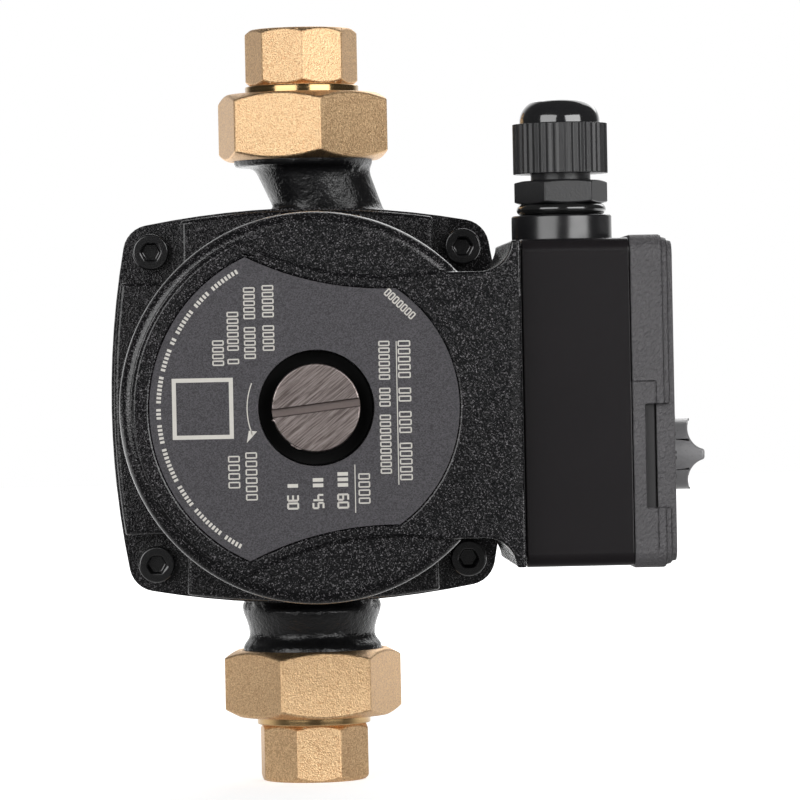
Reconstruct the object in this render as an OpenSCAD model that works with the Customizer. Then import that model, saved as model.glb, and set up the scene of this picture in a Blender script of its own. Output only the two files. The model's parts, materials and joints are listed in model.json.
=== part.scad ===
// Hot water circulation pump: a wet-rotor circulator with two union connections.
// The pipe runs along Z and the motor shaft along Y, with the motor's face toward -Y.
// The terminal box stands on the +X side, with its cover and speed knob facing +X.
// The origin is the centre of the inlet tailpiece's end face, and lengths are millimetres.

/* [Pipe connections] */
// Length of the pump housing between its two port faces
port_length = 130; // [120:1:150]
// Outside diameter of the parallel pipe thread on each port
port_thread_d = 33.25; // [32:0.25:34]
// Bore of each port
port_bore_d = 24; // [18:0.5:25]
// Union nut, across its flats
nut_flats = 37; // [36:0.5:41]
// Union nut, height
nut_height = 15.8; // [14:0.2:20]
// Thickness of the nut's inner lip, which pulls on the tailpiece's collar
nut_lip = 4; // [2.5:0.5:5]
// Turn of the outlet nut about the pipe, in degrees
outlet_nut_turn = -20; // [-30:1:30]
// Turn of the inlet nut about the pipe, in degrees
inlet_nut_turn = 8; // [-30:1:30]
// Tailpiece octagon, across its flats
octagon_flats = 24.8; // [24:0.2:26]
// Height of the tailpiece's octagon
octagon_height = 13.5; // [10:0.5:20]
// Turn of the outlet octagon, in degrees
outlet_octagon_turn = 0; // [0:0.5:45]
// Turn of the inlet octagon, in degrees
inlet_octagon_turn = 26.5; // [0:0.5:45]
// Diameter of the tailpiece's round barrel
barrel_d = 27.1; // [26.7:0.1:27.5]
// Length of the barrel that shows between the nut and the octagon
barrel_show = 1.9; // [1:0.1:5]
// Minor diameter of the pipe thread inside each tailpiece
tail_thread_d = 18.63; // [17:0.1:20]
// Bore through the tailpiece behind its thread
tail_bore_d = 17; // [12:0.5:18]
// Thickness of the tailpiece's collar
collar_t = 3; // [2:0.5:4]
// Thickness of the flat gasket in each union
union_gasket_t = 2; // [1:0.5:3]

/* [Pump housing] */
// Half width of the square flange, at the middle of its sides
flange_half = 46.4; // [45.6:0.2:49]
// Half the spacing of the four housing screws
screw_half = 36.5; // [36:0.25:37.5]
// Radius of the flange's corners
corner_r = 6.5; // [6:0.25:7.5]
// Distance from the pipe axis forward to the joint plane of the two housings
joint_plane = 11; // [10:0.5:14]
// Thickness of the pump housing's flange
housing_flange_t = 10; // [8:0.5:12]
// Distance from the pipe axis back to the housing's rear face
housing_back = 27; // [27:0.5:32]
// Wall of the casting
casting_wall = 4; // [3:0.5:4.5]
// Radius of the impeller chamber
chamber_r = 32; // [31:0.5:33]
// Radius of the neck below each port thread
neck_r = 13.3; // [13:0.1:14.5]

/* [Motor housing] */
// Distance from the pipe axis forward to the motor's face
motor_front = 97; // [95:1:110]
// Thickness of the motor housing's screw flange
motor_flange_t = 8; // [6:0.5:10]
// Height of the raised band between the screw pockets
pocket_depth = 11; // [7:0.5:14]
// Radius of the round motor barrel
motor_r = 43.3; // [42:0.1:44.5]
// Radius of the barrel's rounded front rim
rim_r = 3; // [1.5:0.5:4]
// How far the two lens-shaped areas lie below the face
lens_drop = 1.4; // [0.6:0.2:2]
// Half height of the skirt between the barrel and the terminal box
skirt_half = 29.3; // [27:0.1:30]
// Thickness of the wall behind the motor's face
face_wall = 5; // [4:0.5:6]
// Radius of the well around the vent plug
well_r = 12.7; // [12.2:0.1:13.5]

/* [Vent plug] */
// Diameter of the slotted vent plug's head
plug_d = 19.6; // [17:0.2:21]
// Diameter of the plug's thread
plug_thread_d = 14; // [11:0.5:15]
// Width of the screwdriver slot
plug_slot = 1.8; // [1:0.2:2.4]
// Angle of the slot on the face, in degrees
plug_slot_turn = 6.6; // [-45:0.2:45]

/* [Wet rotor] */
// Diameter of the shaft
shaft_d = 8; // [7:0.5:9]
// Outer diameter of the bearings
bearing_d = 16; // [14:0.5:18]
// Length of the bearings
bearing_length = 11; // [8:0.5:12]
// Diameter of the rotor core
rotor_d = 33.2; // [31:0.1:33.3]
// Length of the rotor core
rotor_length = 38; // [34:1:40]
// Outer diameter of the impeller
impeller_d = 52; // [46:1:56]
// Number of impeller vanes
vane_count = 6; // [5:1:8]
// Diameter of the impeller's eye, measured outside
eye_d = 24; // [20:0.5:25]

/* [Stator] */
// Outer diameter of the stator's lamination stack
stator_d = 76; // [73:0.5:78]
// Length of the stack
stator_length = 40; // [36:1:42]
// Number of slots
slot_count = 12; // [8:1:14]

/* [Terminal box] */
// Distance from the motor axis to the back of the terminal box
box_start = 46; // [45:0.5:48]
// Depth of the box base, away from the motor
base_depth = 24; // [22:0.5:30]
// Half height of the box base
box_half = 36.3; // [35:0.1:40]
// Distance from the pipe axis forward to the box's front wall
box_front = 92; // [88:0.5:94]
// Length of the box along the motor
box_length = 54; // [50:1:58]
// Wall of the box and its cover
box_wall = 2.2; // [1.6:0.1:2.6]
// Depth of the cover's skirt
cover_depth = 7; // [6:0.5:12]
// Thickness of the cover's outer panel, above the skirt
panel_rise = 2.4; // [2:0.2:4]
// Height of the knob's centre above the motor axis
knob_height = -12.1; // [-16:0.1:-8]
// Distance from the box's front wall back to the knob's axis
knob_inset = 16; // [15:0.5:20]
// Diameter of the speed knob
knob_d = 15.8; // [13:0.2:18]
// Height of the knob's fin above the knob's base
knob_rise = 8; // [6:0.1:10]

/* [Cable gland] */
// Distance from the motor axis to the gland's axis
gland_x = 56.9; // [56:0.1:60]
// Diameter of the boss that the gland screws into
gland_boss_d = 22.6; // [21.5:0.1:24]
// Height of the boss above the box base
gland_boss_h = 5.8; // [3:0.1:8]
// Diameter of the gland's entry thread
gland_thread_d = 16; // [15:0.5:16.5]
// Gland body hexagon, across its flats
gland_flats = 18.6; // [18:0.1:22]
// Height of the gland's hexagon
gland_hex_h = 5.2; // [4:0.1:7]
// Turn of the gland's hexagon, in degrees
gland_turn = 6.3; // [0:0.1:60]
// Gap between the hexagon and the dome nut, with no cable in the gland
gland_gap = 1.6; // [1.2:0.1:2.5]
// Width of the dome nut
dome_nut_d = 21.5; // [20.5:0.1:24]
// Height of the dome nut's ribbed part
dome_nut_h = 11.3; // [10:0.1:14]
// Diameter of the dome above the ribs
dome_d = 18.2; // [17:0.1:19.5]
// Height of the dome above the ribs
dome_h = 5.5; // [4.5:0.1:7]
// Diameter of the hole for the cable in the seal insert
cable_d = 8; // [5:0.5:8.5]

/* [Hidden] */

$fn = 96;
// Every cut runs past the surface by this much
cut = 1;
// Radial clearance of threads and of turning parts in their bores
running_gap = 0.05;
// Clearance round a piece that only has to drop into its seat
seat_gap = 0.1;
// Sides of the coarse rounds inside a blend
blend_fn = 32;

// Heights along the pipe
tail_rise = union_gasket_t + collar_t + nut_lip + barrel_show + octagon_height;
port_half = port_length / 2;
axis_height = port_half + tail_rise;
nut_drop = nut_height - union_gasket_t - collar_t - nut_lip;
thread_runout = 1.5;
port_thread_length = nut_drop + thread_runout;
port_thread_r = port_thread_d / 2;
nut_bore_r = port_thread_r + running_gap;
barrel_r = barrel_d / 2;
barrel_gap = 0.25;
collar_overlap = 1.3;
collar_r = barrel_r + collar_overlap;
tail_thread_length = octagon_height - 1.5 * thread_runout;
// Diameter of a chamfered end, as a share of the width across flats
chamfer_end_share = 0.97;
nut_chamfer_rise = 1.8;
octagon_chamfer_rise = 1.1;

// The outline of the flange, as shares of one side's half width
side_steps = 6;
corner_steps = 6;

// Depths along the motor, measured forward from the pipe axis
bowl_back = 12;
partition_t = 3;
spigot_depth = 3;
spigot_step = 7;
spigot_r = chamber_r + spigot_step;
plate_t = 1.2;
housing_gasket_t = 1.2;
can_wall = 0.6;
spigot_floor = joint_plane - spigot_depth;
gasket_start = spigot_floor + plate_t;
can_flange_start = gasket_start + housing_gasket_t;
suction_back = housing_back - casting_wall;
suction_r = 14;
suction_half = 11;
hump_r = suction_r + casting_wall;
volute_room = 2;
volute_r = chamber_r + casting_wall + volute_room;
volute_round = 8;
volute_back = bowl_back + partition_t + casting_wall + volute_room;
hump_round = 5;
passage_step = 0.5;
passage_r = port_bore_d / 2 - passage_step;
neck_start = port_half - port_thread_length;
inlet_waist_grow = 1.4;
inlet_waist_r = neck_r + inlet_waist_grow;
inlet_root_grow = 2.3;
inlet_root_r = inlet_waist_r + inlet_root_grow;
outlet_root_step = 2;
neck_flare = 6;
neck_shift = 1.5;

// Screws that hold the motor housing
screw_d = 5;
screw_head_d = 8.5;
screw_head_h = 5;
screw_socket = 4;
screw_grip = 8.5;
screw_tip_room = 0.6;
seat_plane = joint_plane + motor_flange_t;

// Motor housing
pocket_x = 29.3;
pocket_middle = pocket_x + flange_half / 2;
band_inset = 0.8;
skirt_round = 6.9;
box_gasket_t = 0.5;
pad_x = box_start - box_gasket_t;
pad_t = 2;
skirt_end = pad_x - pad_t;
pad_inset = 0.3;
pad_half = box_half - pad_inset;
pad_overhang = 2;
skirt_back = box_front - box_length - pad_overhang;
stator_r = stator_d / 2;
cavity_r = stator_r + running_gap;
cavity_front = motor_front - face_wall;
lens_r = 66.9;
lens_x = 16.2;
lens_y = 95.3;
label_left_r = 36.7;
label_right_r = 31.6;
label_arc_grow = 2.4;
label_arc_r = lens_r + label_arc_grow;
well_wall = 3;
label_t = 0.5;
label_recess = 0.6;

// Rotor can and its end
rotor_r = rotor_d / 2;
rotor_air_gap = 0.4;
can_inner_r = rotor_r + rotor_air_gap;
can_outer_r = can_inner_r + can_wall;
shaft_r = shaft_d / 2;
bearing_r = bearing_d / 2;
can_neck_r = bearing_r + running_gap;
can_neck_wall = 1;
can_neck_outer_r = can_neck_r + can_neck_wall;
can_boss_r = well_r - seat_gap;
plug_seat_drop = 6.5;
plug_seat = motor_front - plug_seat_drop;
can_boss_h = 6.5;
can_boss_start = plug_seat - can_boss_h;
plug_thread_r = plug_thread_d / 2;
plug_r = plug_d / 2;
plug_seal_t = 1.5;
plug_head_h = 3;
plug_slot_depth = 1.4;
plug_shank = 6;
plug_edge = 0.4;

// Rotor, from the impeller forward
end_room = 1;
rear_bearing_start = can_boss_start - bearing_length - end_room;
shaft_front = can_boss_start - end_room;
plate_hub_t = 1.2;
front_bearing_start = spigot_floor + end_room;
front_bearing_end = front_bearing_start + bearing_length;
stator_start = 27;
stator_end = stator_start + stator_length;
rotor_start = stator_start + (stator_length - rotor_length) / 2;
can_tube_end = rear_bearing_start - end_room;
thrust_gap = 0.3;
thrust_start = front_bearing_end + thrust_gap;
shroud_t = 2.5;
impeller_room = 2;
impeller_back = spigot_floor - impeller_room;
eye_room = 4.5;
impeller_front = eye_room - bowl_back;
eye_r = eye_d / 2;
eye_wall = 1.5;
eye_reach = 5.5;
impeller_r = impeller_d / 2;
hub_wall = 3;
hub_r = shaft_r + hub_wall;
vane_t = 1.6;
vane_sweep = 50;
vane_arc_steps = 8;
vane_inset = 0.5;
retainer_h = 2;
shaft_back = impeller_front + shroud_t - retainer_h;
neck_ring_gap = 0.3;
neck_ring_wall = 1.7;
ring_rim = 1;
ring_inner_r = eye_r + neck_ring_gap;
ring_outer_r = ring_inner_r + neck_ring_wall;

// Stator details
tooth_tip = 3.2;
slot_inner_r = can_outer_r + tooth_tip;
yoke_t = 7;
slot_outer_r = stator_r - yoke_t;
slot_widths_together = 67;
slot_width = slot_widths_together / slot_count;
slot_phase_share = 0.5;
slot_mouth = 2.4;
slot_liner = 0.35;
stator_bore_r = can_outer_r + seat_gap;
insulator_t = 1.5;
end_turn_h = 8;
end_turn_round = 3;

// Terminal box
base_end = box_start + base_depth;
box_centre = box_front - box_length / 2;
box_corner_r = 3;
cover_corner_r = 4;
cover_grow = 0.6;
cover_skirt_end = base_end + cover_depth;
panel_face = cover_skirt_end + panel_rise;
panel_inset = 1.4;
lip_depth = 2;
lip_t = 1.4;
seal_t = 1;
knob_axis = box_front - knob_inset;
knob_r = knob_d / 2;
dish_depth = 1;
dish_gap = 1.1;
dish_floor = panel_face - dish_depth;
knob_lift = 0.15;
knob_base = dish_floor + knob_lift;
spindle_r = 2.5;
switch_half = 8;
switch_depth = 12;
panel_inner = dish_floor - box_wall;
scallop_half = 11.5;
scallop_depth = 1.4;
scallop_rise = 2.8;
scallop_start = base_end + scallop_rise;
cover_screw_offset = 15.3;
cover_screw_d = 3;
cover_screw_head_d = 5.6;
cover_screw_head_h = 2;
cover_screw_column_r = 3.4;
cover_screw_reach = 8;
cover_screw_inset = 5.5;
knob_fin_half = 1.1;
knob_disc_h = 4.5;
knob_foot_half = 5;
knob_flank_r = 4.3;

// Inside the box
fix_screw_d = 4;
fix_screw_head_d = 7;
fix_screw_head_h = 2.6;
fix_screw_grip = 8;
fix_inset = 9.3;
fix_height = box_half - fix_inset;
grommet_r = 4.6;
grommet_lip = 1.2;
grommet_lip_t = 1.2;
lead_r = 0.9;
lead_spread = 2.55;
lead_count = 3;
lead_plane = stator_end + insulator_t + end_turn_h / 2;
lead_height = 6;
block_height = 13;
block_share = 0.34;
block_length = box_length * block_share;
block_depth = 11;
block_bottom = -1;
block_poles = 3;
block_stand = 4;
terminal_screw_r = 1.7;
terminal_screw_h = 4;
capacitor_share = 0.138;
capacitor_r = box_length * capacitor_share;
capacitor_length = 32;
capacitor_clear = 0.2;
cradle_t = 2;
capacitor_y = -(box_front - box_length + box_wall + capacitor_r + capacitor_clear + cradle_t);
capacitor_x = box_start + box_wall + cradle_t + capacitor_r;
capacitor_z = 0;
earth_height = -fix_height;

// Cable gland
gland_y = box_centre;
boss_top = box_half + gland_boss_h;
o_ring_r = 1.25;
gland_thread_r = gland_thread_d / 2;
o_ring_neck_step = 0.45;
o_ring_neck_r = gland_thread_r - o_ring_neck_step;
hex_base = boss_top + 2 * o_ring_r + seat_gap;
hex_top = hex_base + gland_hex_h;
nut_base = hex_top + gland_gap;
nut_top = nut_base + dome_nut_h;
dome_top = nut_top + dome_h;
gland_neck_r = 6.75;
gland_neck_h = 9;
gland_bore_r = 4.7;
gland_reach = 2;
rib_count = 40;
rib_depth = 0.45;
dome_round = 5;
dome_mouth_grow = 0.6;
dome_mouth_r = gland_bore_r + dome_mouth_grow;
insert_t = 1.1;
insert_outer_r = gland_bore_r + insert_t;
insert_gap = 1.5;
dome_lip = 0.8;
insert_base = hex_top + gland_neck_h + insert_gap;
cable_r = cable_d / 2;

// Colours
black_coat = [0.1, 0.1, 0.1];
cast_paint = [0.08, 0.08, 0.08];
gloss_black = [0.06, 0.06, 0.07];
satin_black = [0.16, 0.16, 0.17];
brass_cast = [0.85, 0.68, 0.4];
nickel = [0.5, 0.45, 0.43];
steel = [0.7, 0.7, 0.72];
graphite = [0.2, 0.2, 0.22];
ceramic = [0.85, 0.83, 0.78];
copper_wire = [0.7, 0.4, 0.2];
fibre = [0.45, 0.18, 0.12];
rubber_black = [0.12, 0.12, 0.12];
label_grey = [0.3, 0.29, 0.31];
knob_black = [0.22, 0.22, 0.23];
cream = [0.85, 0.82, 0.72];

// Local z runs forward along the motor shaft, local y runs up the pipe
module on_motor() {
    translate([0, 0, axis_height])
        rotate([90, 0, 0])
            children();
}

// Local z runs out of the terminal box, local x runs back along Y, local y runs up
module on_box() {
    translate([0, 0, axis_height])
        rotate([90, 0, 90])
            children();
}

// Local z runs out of the outlet port, from the port's face
module on_outlet() {
    translate([0, 0, axis_height + port_half])
        children();
}

// Local z runs out of the inlet port, from the port's face
module on_inlet() {
    translate([0, 0, axis_height - port_half])
        mirror([0, 0, 1])
            children();
}

module at_screws() {
    for (sx = [-1, 1], sy = [-1, 1])
        translate([sx * screw_half, sy * screw_half, 0])
            children();
}

module tube(outer_r, inner_r, h) {
    difference() {
        cylinder(r = outer_r, h = h);
        translate([0, 0, -cut])
            cylinder(r = inner_r, h = h + 2 * cut);
    }
}

module rounded_rect(w, h, r) {
    square([w - 2 * r, h], center = true);
    square([w, h - 2 * r], center = true);
    for (sx = [-1, 1], sy = [-1, 1])
        translate([sx * (w / 2 - r), sy * (h / 2 - r)])
            circle(r = r);
}

// Half section of a disc whose outer top edge is rounded
module rounded_half(r, h, edge) {
    square([r - edge, h]);
    square([r, h - edge]);
    intersection() {
        square([r, h]);
        translate([r - edge, h - edge])
            circle(r = edge);
    }
}

// Prism with n sides whose two ends are chamfered by a cone
module chamfered_prism(n, flats, h, chamfer_rise, turn) {
    side_r = flats / 2 / cos(180 / n);
    end_r = flats / 2 * chamfer_end_share;
    beyond_r = 2 * side_r - end_r;
    intersection() {
        rotate([0, 0, turn])
            cylinder(r = side_r, h = h, $fn = n);
        rotate_extrude()
            polygon([[0, 0], [end_r, 0], [beyond_r, 2 * chamfer_rise],
                [beyond_r, h - 2 * chamfer_rise], [end_r, h], [0, h]]);
    }
}

// Points of a square whose sides bow out and whose corners are round
function bowed_square(half, corner, r) =
    let (lean = atan(2 * (half - corner - r) / corner))
    let (end_x = corner + r * sin(lean), end_y = corner + r * cos(lean))
    [for (q = [0:3]) each
        [for (p = concat(
            [for (i = [0:corner_steps])
                let (a = lean + (90 - 2 * lean) * i / corner_steps)
                [corner + r * cos(a), corner + r * sin(a)]],
            [for (i = [1:2 * side_steps - 1])
                let (share = 1 - i / side_steps)
                [end_x * share, half - (half - end_y) * share * share]]))
            [p[0] * cos(90 * q) - p[1] * sin(90 * q), p[0] * sin(90 * q) + p[1] * cos(90 * q)]]];

module flange_outline(inset) {
    polygon(bowed_square(flange_half - inset, screw_half, corner_r - inset));
}

module outlet_blend(r, top_r) {
    hull() {
        translate([neck_shift, 0, neck_start])
            cylinder(r = top_r, h = thread_runout, $fn = blend_fn);
        translate([volute_r / 3, r / 6, chamber_r - r / 8])
            sphere(r = r, $fn = blend_fn);
    }
}

module inlet_blend() {
    hull() {
        translate([0, 0, -neck_start])
            cylinder(r = inlet_waist_r, h = thread_runout, $fn = blend_fn);
        for (z = [0, -chamber_r + casting_wall])
            translate([0, 0, z])
                rotate([-90, 0, 0])
                    rotate_extrude($fn = blend_fn)
                        polygon([[0, 0], [hump_r, 0], [hump_r, suction_back],
                            [hump_r - hump_round, housing_back], [0, housing_back]]);
    }
}

module inlet_passage() {
    hull() {
        translate([0, 0, -neck_start])
            cylinder(r = passage_r, h = thread_runout, $fn = blend_fn);
        translate([-suction_half, bowl_back + partition_t, -chamber_r - partition_t])
            cube([2 * suction_half, suction_back - bowl_back - partition_t, thread_runout]);
    }
}

module pump_housing() {
    color(cast_paint)
        difference() {
            union() {
                on_motor() {
                    translate([0, 0, joint_plane - housing_flange_t])
                        linear_extrude(housing_flange_t)
                            flange_outline(0);
                    mirror([0, 0, 1])
                        rotate_extrude()
                            rounded_half(volute_r, volute_back, volute_round);
                }
                translate([0, 0, axis_height]) {
                    outlet_blend(neck_r - outlet_root_step, neck_r);
                    inlet_blend();
                    translate([0, 0, -neck_start + neck_flare / 2])
                        cylinder(r1 = inlet_waist_r, r2 = inlet_root_r, h = neck_flare);
                    for (side = [-1, 1])
                        translate([0, 0, side * (port_half - port_thread_length / 2)])
                            cylinder(r = port_thread_r, h = port_thread_length, center = true);
                }
            }
            on_motor() {
                translate([0, 0, -bowl_back])
                    cylinder(r = chamber_r, h = bowl_back + joint_plane + cut);
                translate([0, 0, spigot_floor])
                    cylinder(r = spigot_r, h = spigot_depth + cut);
                translate([0, 0, -suction_back])
                    cylinder(r = suction_r, h = suction_back - bowl_back - partition_t);
                translate([0, 0, -bowl_back - partition_t - cut])
                    cylinder(r = ring_outer_r + running_gap, h = partition_t + 2 * cut);
                translate([-suction_half, -chamber_r - partition_t, -suction_back])
                    cube([2 * suction_half, chamber_r + partition_t,
                        suction_back - bowl_back - partition_t]);
                at_screws()
                    translate([0, 0, joint_plane - screw_grip - screw_tip_room])
                        cylinder(r = screw_d / 2 + running_gap, h = screw_grip + screw_tip_room + cut);
                translate([0, 0, joint_plane])
                    linear_extrude(volute_r)
                        flange_outline(-seat_gap);
            }
            translate([0, 0, axis_height]) {
                outlet_blend(neck_r - casting_wall, passage_r);
                inlet_passage();
                for (side = [0, 1])
                    mirror([0, 0, side])
                        translate([0, 0, neck_start])
                            cylinder(d = port_bore_d, h = port_thread_length + cut);
            }
        }
}

module neck_ring() {
    color(steel)
        on_motor()
            translate([0, 0, -bowl_back - partition_t])
                union() {
                    tube(ring_outer_r, ring_inner_r, partition_t + ring_rim);
                    translate([0, 0, partition_t])
                        tube(ring_outer_r + ring_rim, ring_inner_r, ring_rim);
                }
}

// One vane is a thin wall whose angle grows steadily from the eye to the rim
module vane(h) {
    inner = eye_r + vane_inset;
    span = impeller_r - vane_inset - inner;
    side_a = [for (i = [0:vane_arc_steps])
        let (r = inner + span * i / vane_arc_steps, a = vane_sweep * i / vane_arc_steps)
        [r * cos(a), r * sin(a)]];
    side_b = [for (i = [vane_arc_steps:-1:0])
        let (r = inner + span * i / vane_arc_steps, a = vane_sweep * i / vane_arc_steps)
        let (turn = vane_t / r * 180 / PI)
        [r * cos(a - turn), r * sin(a - turn)]];
    linear_extrude(h)
        polygon(concat(side_a, side_b));
}

module impeller() {
    color(ceramic)
        on_motor()
            difference() {
                union() {
                    translate([0, 0, impeller_back - shroud_t])
                        cylinder(r = impeller_r, h = shroud_t);
                    translate([0, 0, impeller_front])
                        tube(impeller_r, eye_r - eye_wall, shroud_t);
                    translate([0, 0, impeller_front - eye_reach])
                        tube(eye_r, eye_r - eye_wall, eye_reach + shroud_t);
                    translate([0, 0, impeller_front + shroud_t])
                        cylinder(r = hub_r, h = impeller_back - impeller_front - shroud_t);
                    for (i = [0:vane_count - 1])
                        rotate([0, 0, 360 * i / vane_count])
                            translate([0, 0, impeller_front + shroud_t / 2])
                                vane(impeller_back - impeller_front - shroud_t);
                }
                translate([0, 0, impeller_front - eye_reach - cut])
                    cylinder(r = shaft_r + running_gap,
                        h = impeller_back - impeller_front + eye_reach + 2 * cut);
            }
}

module impeller_retainer() {
    color(steel)
        on_motor()
            translate([0, 0, shaft_back])
                tube(shaft_r + 2 * vane_t, shaft_r + running_gap, retainer_h);
}

module shaft() {
    color(ceramic)
        on_motor()
            translate([0, 0, shaft_back])
                cylinder(r = shaft_r, h = shaft_front - shaft_back);
}

module rotor_core() {
    color(steel)
        on_motor()
            translate([0, 0, rotor_start])
                tube(rotor_r, shaft_r + running_gap, rotor_length);
}

module thrust_bearing() {
    color(graphite)
        on_motor()
            translate([0, 0, thrust_start])
                tube(bearing_r, shaft_r + running_gap, rotor_start - thrust_start);
}

module front_bearing() {
    color(ceramic)
        on_motor()
            translate([0, 0, front_bearing_start])
                tube(bearing_r, shaft_r + running_gap, bearing_length);
}

module rear_bearing() {
    color(ceramic)
        on_motor()
            translate([0, 0, rear_bearing_start])
                tube(bearing_r, shaft_r + running_gap, bearing_length);
}

module bearing_plate() {
    hub_outer = bearing_r + running_gap + plate_hub_t;
    color(steel)
        on_motor()
            difference() {
                union() {
                    translate([0, 0, spigot_floor])
                        cylinder(r = spigot_r - seat_gap, h = plate_t);
                    translate([0, 0, spigot_floor])
                        cylinder(r = hub_outer, h = front_bearing_end - spigot_floor);
                }
                translate([0, 0, front_bearing_start])
                    cylinder(r = bearing_r + running_gap, h = bearing_length + cut);
                translate([0, 0, spigot_floor - cut])
                    cylinder(r = shaft_r + plate_t, h = bearing_length);
            }
}

module rotor_can() {
    color(steel)
        on_motor()
            difference() {
                union() {
                    translate([0, 0, can_flange_start])
                        cylinder(r = spigot_r - seat_gap, h = can_wall);
                    translate([0, 0, can_flange_start])
                        cylinder(r = can_outer_r, h = can_tube_end - can_flange_start);
                    translate([0, 0, can_tube_end - can_wall])
                        cylinder(r = can_neck_outer_r, h = can_boss_start - can_tube_end + can_wall);
                    translate([0, 0, can_boss_start])
                        cylinder(r = can_boss_r, h = plug_seat - can_boss_start);
                }
                translate([0, 0, can_flange_start - cut])
                    cylinder(r = can_inner_r, h = can_tube_end - can_flange_start - can_wall + cut);
                translate([0, 0, can_tube_end - can_wall - cut])
                    cylinder(r = can_neck_r, h = can_boss_start - can_tube_end + can_wall + cut);
                translate([0, 0, can_boss_start - cut])
                    cylinder(r = plug_thread_r + running_gap, h = plug_seat - can_boss_start + 2 * cut);
            }
}

module housing_gasket() {
    color(rubber_black)
        on_motor()
            translate([0, 0, gasket_start])
                tube(spigot_r - seat_gap, chamber_r + casting_wall / 2, housing_gasket_t);
}

module slots(grow, from_f, length) {
    for (i = [0:slot_count - 1])
        rotate([0, 0, 360 * (i + slot_phase_share) / slot_count])
            translate([slot_inner_r - grow, -slot_width / 2 - grow, from_f])
                cube([slot_outer_r - slot_inner_r + 2 * grow, slot_width + 2 * grow, length]);
}

module stator_core() {
    color(steel)
        on_motor()
            difference() {
                translate([0, 0, stator_start])
                    tube(stator_r, stator_bore_r, stator_length);
                slots(0, stator_start - cut, stator_length + 2 * cut);
                for (i = [0:slot_count - 1])
                    rotate([0, 0, 360 * (i + slot_phase_share) / slot_count])
                        translate([can_inner_r, -slot_mouth / 2, stator_start - cut])
                            cube([slot_inner_r - can_inner_r + cut, slot_mouth, stator_length + 2 * cut]);
            }
}

module winding_insulators() {
    color(fibre)
        on_motor()
            difference() {
                for (f = [stator_start - insulator_t, stator_end])
                    translate([0, 0, f])
                        tube(slot_outer_r + insulator_t, slot_inner_r - insulator_t, insulator_t);
                slots(0, stator_start - insulator_t - cut, stator_length + 2 * insulator_t + 2 * cut);
            }
}

module end_turn() {
    rotate_extrude()
        translate([(slot_inner_r + slot_outer_r) / 2, end_turn_h / 2])
            rounded_rect(slot_outer_r - slot_inner_r, end_turn_h, end_turn_round);
}

module stator_windings() {
    color(copper_wire)
        on_motor()
            union() {
                translate([0, 0, stator_start - insulator_t - end_turn_h])
                    end_turn();
                translate([0, 0, stator_end + insulator_t])
                    end_turn();
                slots(-slot_liner, stator_start - insulator_t - end_turn_h / 2,
                    stator_length + 2 * insulator_t + end_turn_h);
            }
}

// Side view of the skirt: a straight web that flares to the pad of the terminal box
module skirt_outline() {
    difference() {
        union() {
            translate([0, -skirt_half])
                square([pad_x, 2 * skirt_half]);
            translate([skirt_end - skirt_round, -pad_half])
                square([pad_x - skirt_end + skirt_round, 2 * pad_half]);
        }
        for (side = [-1, 1])
            translate([skirt_end - skirt_round, side * (skirt_half + skirt_round)])
                circle(r = skirt_round);
    }
}

module face_outline() {
    difference() {
        union() {
            circle(r = motor_r - rim_r);
            intersection() {
                circle(r = motor_r - rim_r / 3);
                translate([0, -skirt_half])
                    square([motor_r, 2 * skirt_half]);
            }
        }
        for (side = [-1, 1])
            translate([lens_x, side * lens_y])
                circle(r = lens_r);
    }
}

module label_outline(inset) {
    intersection() {
        circle(r = label_left_r - inset);
        union() {
            circle(r = label_right_r - inset);
            translate([-label_left_r, -label_left_r])
                square([label_left_r + label_right_r / 2, 2 * label_left_r]);
        }
        difference() {
            circle(r = label_left_r);
            for (side = [-1, 1])
                translate([lens_x, side * lens_y])
                    circle(r = label_arc_r + inset);
        }
    }
}

module motor_housing() {
    color(black_coat)
        on_motor()
            difference() {
                union() {
                    translate([0, 0, joint_plane])
                        linear_extrude(motor_flange_t)
                            flange_outline(0);
                    translate([0, 0, seat_plane])
                        linear_extrude(pocket_depth)
                            difference() {
                                flange_outline(band_inset);
                                for (sx = [-1, 1], sy = [-1, 1])
                                    translate([sx * pocket_middle, sy * pocket_middle])
                                        square(flange_half, center = true);
                            }
                    translate([0, 0, joint_plane])
                        rotate_extrude()
                            rounded_half(motor_r, motor_front - lens_drop - joint_plane, rim_r);
                    translate([0, 0, motor_front - lens_drop - cut])
                        linear_extrude(lens_drop + cut)
                            face_outline();
                    translate([0, 0, skirt_back])
                        linear_extrude(motor_front - skirt_back)
                            skirt_wing();
                }
                difference() {
                    translate([0, 0, joint_plane - cut])
                        cylinder(r = cavity_r, h = cavity_front - joint_plane + cut);
                    translate([0, 0, can_boss_start + cut])
                        cylinder(r = well_r + well_wall, h = cavity_front - can_boss_start);
                }
                translate([0, 0, can_boss_start])
                    cylinder(r = well_r, h = motor_front - can_boss_start + cut);
                translate([0, 0, motor_front - label_recess])
                    linear_extrude(label_recess + cut)
                        label_outline(0);
                at_screws()
                    translate([0, 0, joint_plane - cut])
                        cylinder(r = screw_d / 2 + seat_gap, h = motor_flange_t + 2 * cut);
                lead_hole(grommet_r + seat_gap);
                fix_holes(fix_screw_d / 2 + running_gap, pad_x - fix_screw_grip, fix_screw_grip + cut);
            }
}

// The part of the skirt that lies outside the round barrel
module skirt_wing() {
    difference() {
        skirt_outline();
        circle(r = motor_r - rim_r);
    }
}

// Hole along X for the winding leads, in the motor's own directions
module lead_hole(r) {
    translate([cavity_r - 3 * rim_r, lead_height, lead_plane])
        rotate([0, 90, 0])
            cylinder(r = r, h = box_start);
}

module fix_holes(r, from_x, length) {
    for (side = [-1, 1])
        translate([from_x, side * fix_height, box_centre])
            rotate([0, 90, 0])
                cylinder(r = r, h = length);
}

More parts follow.
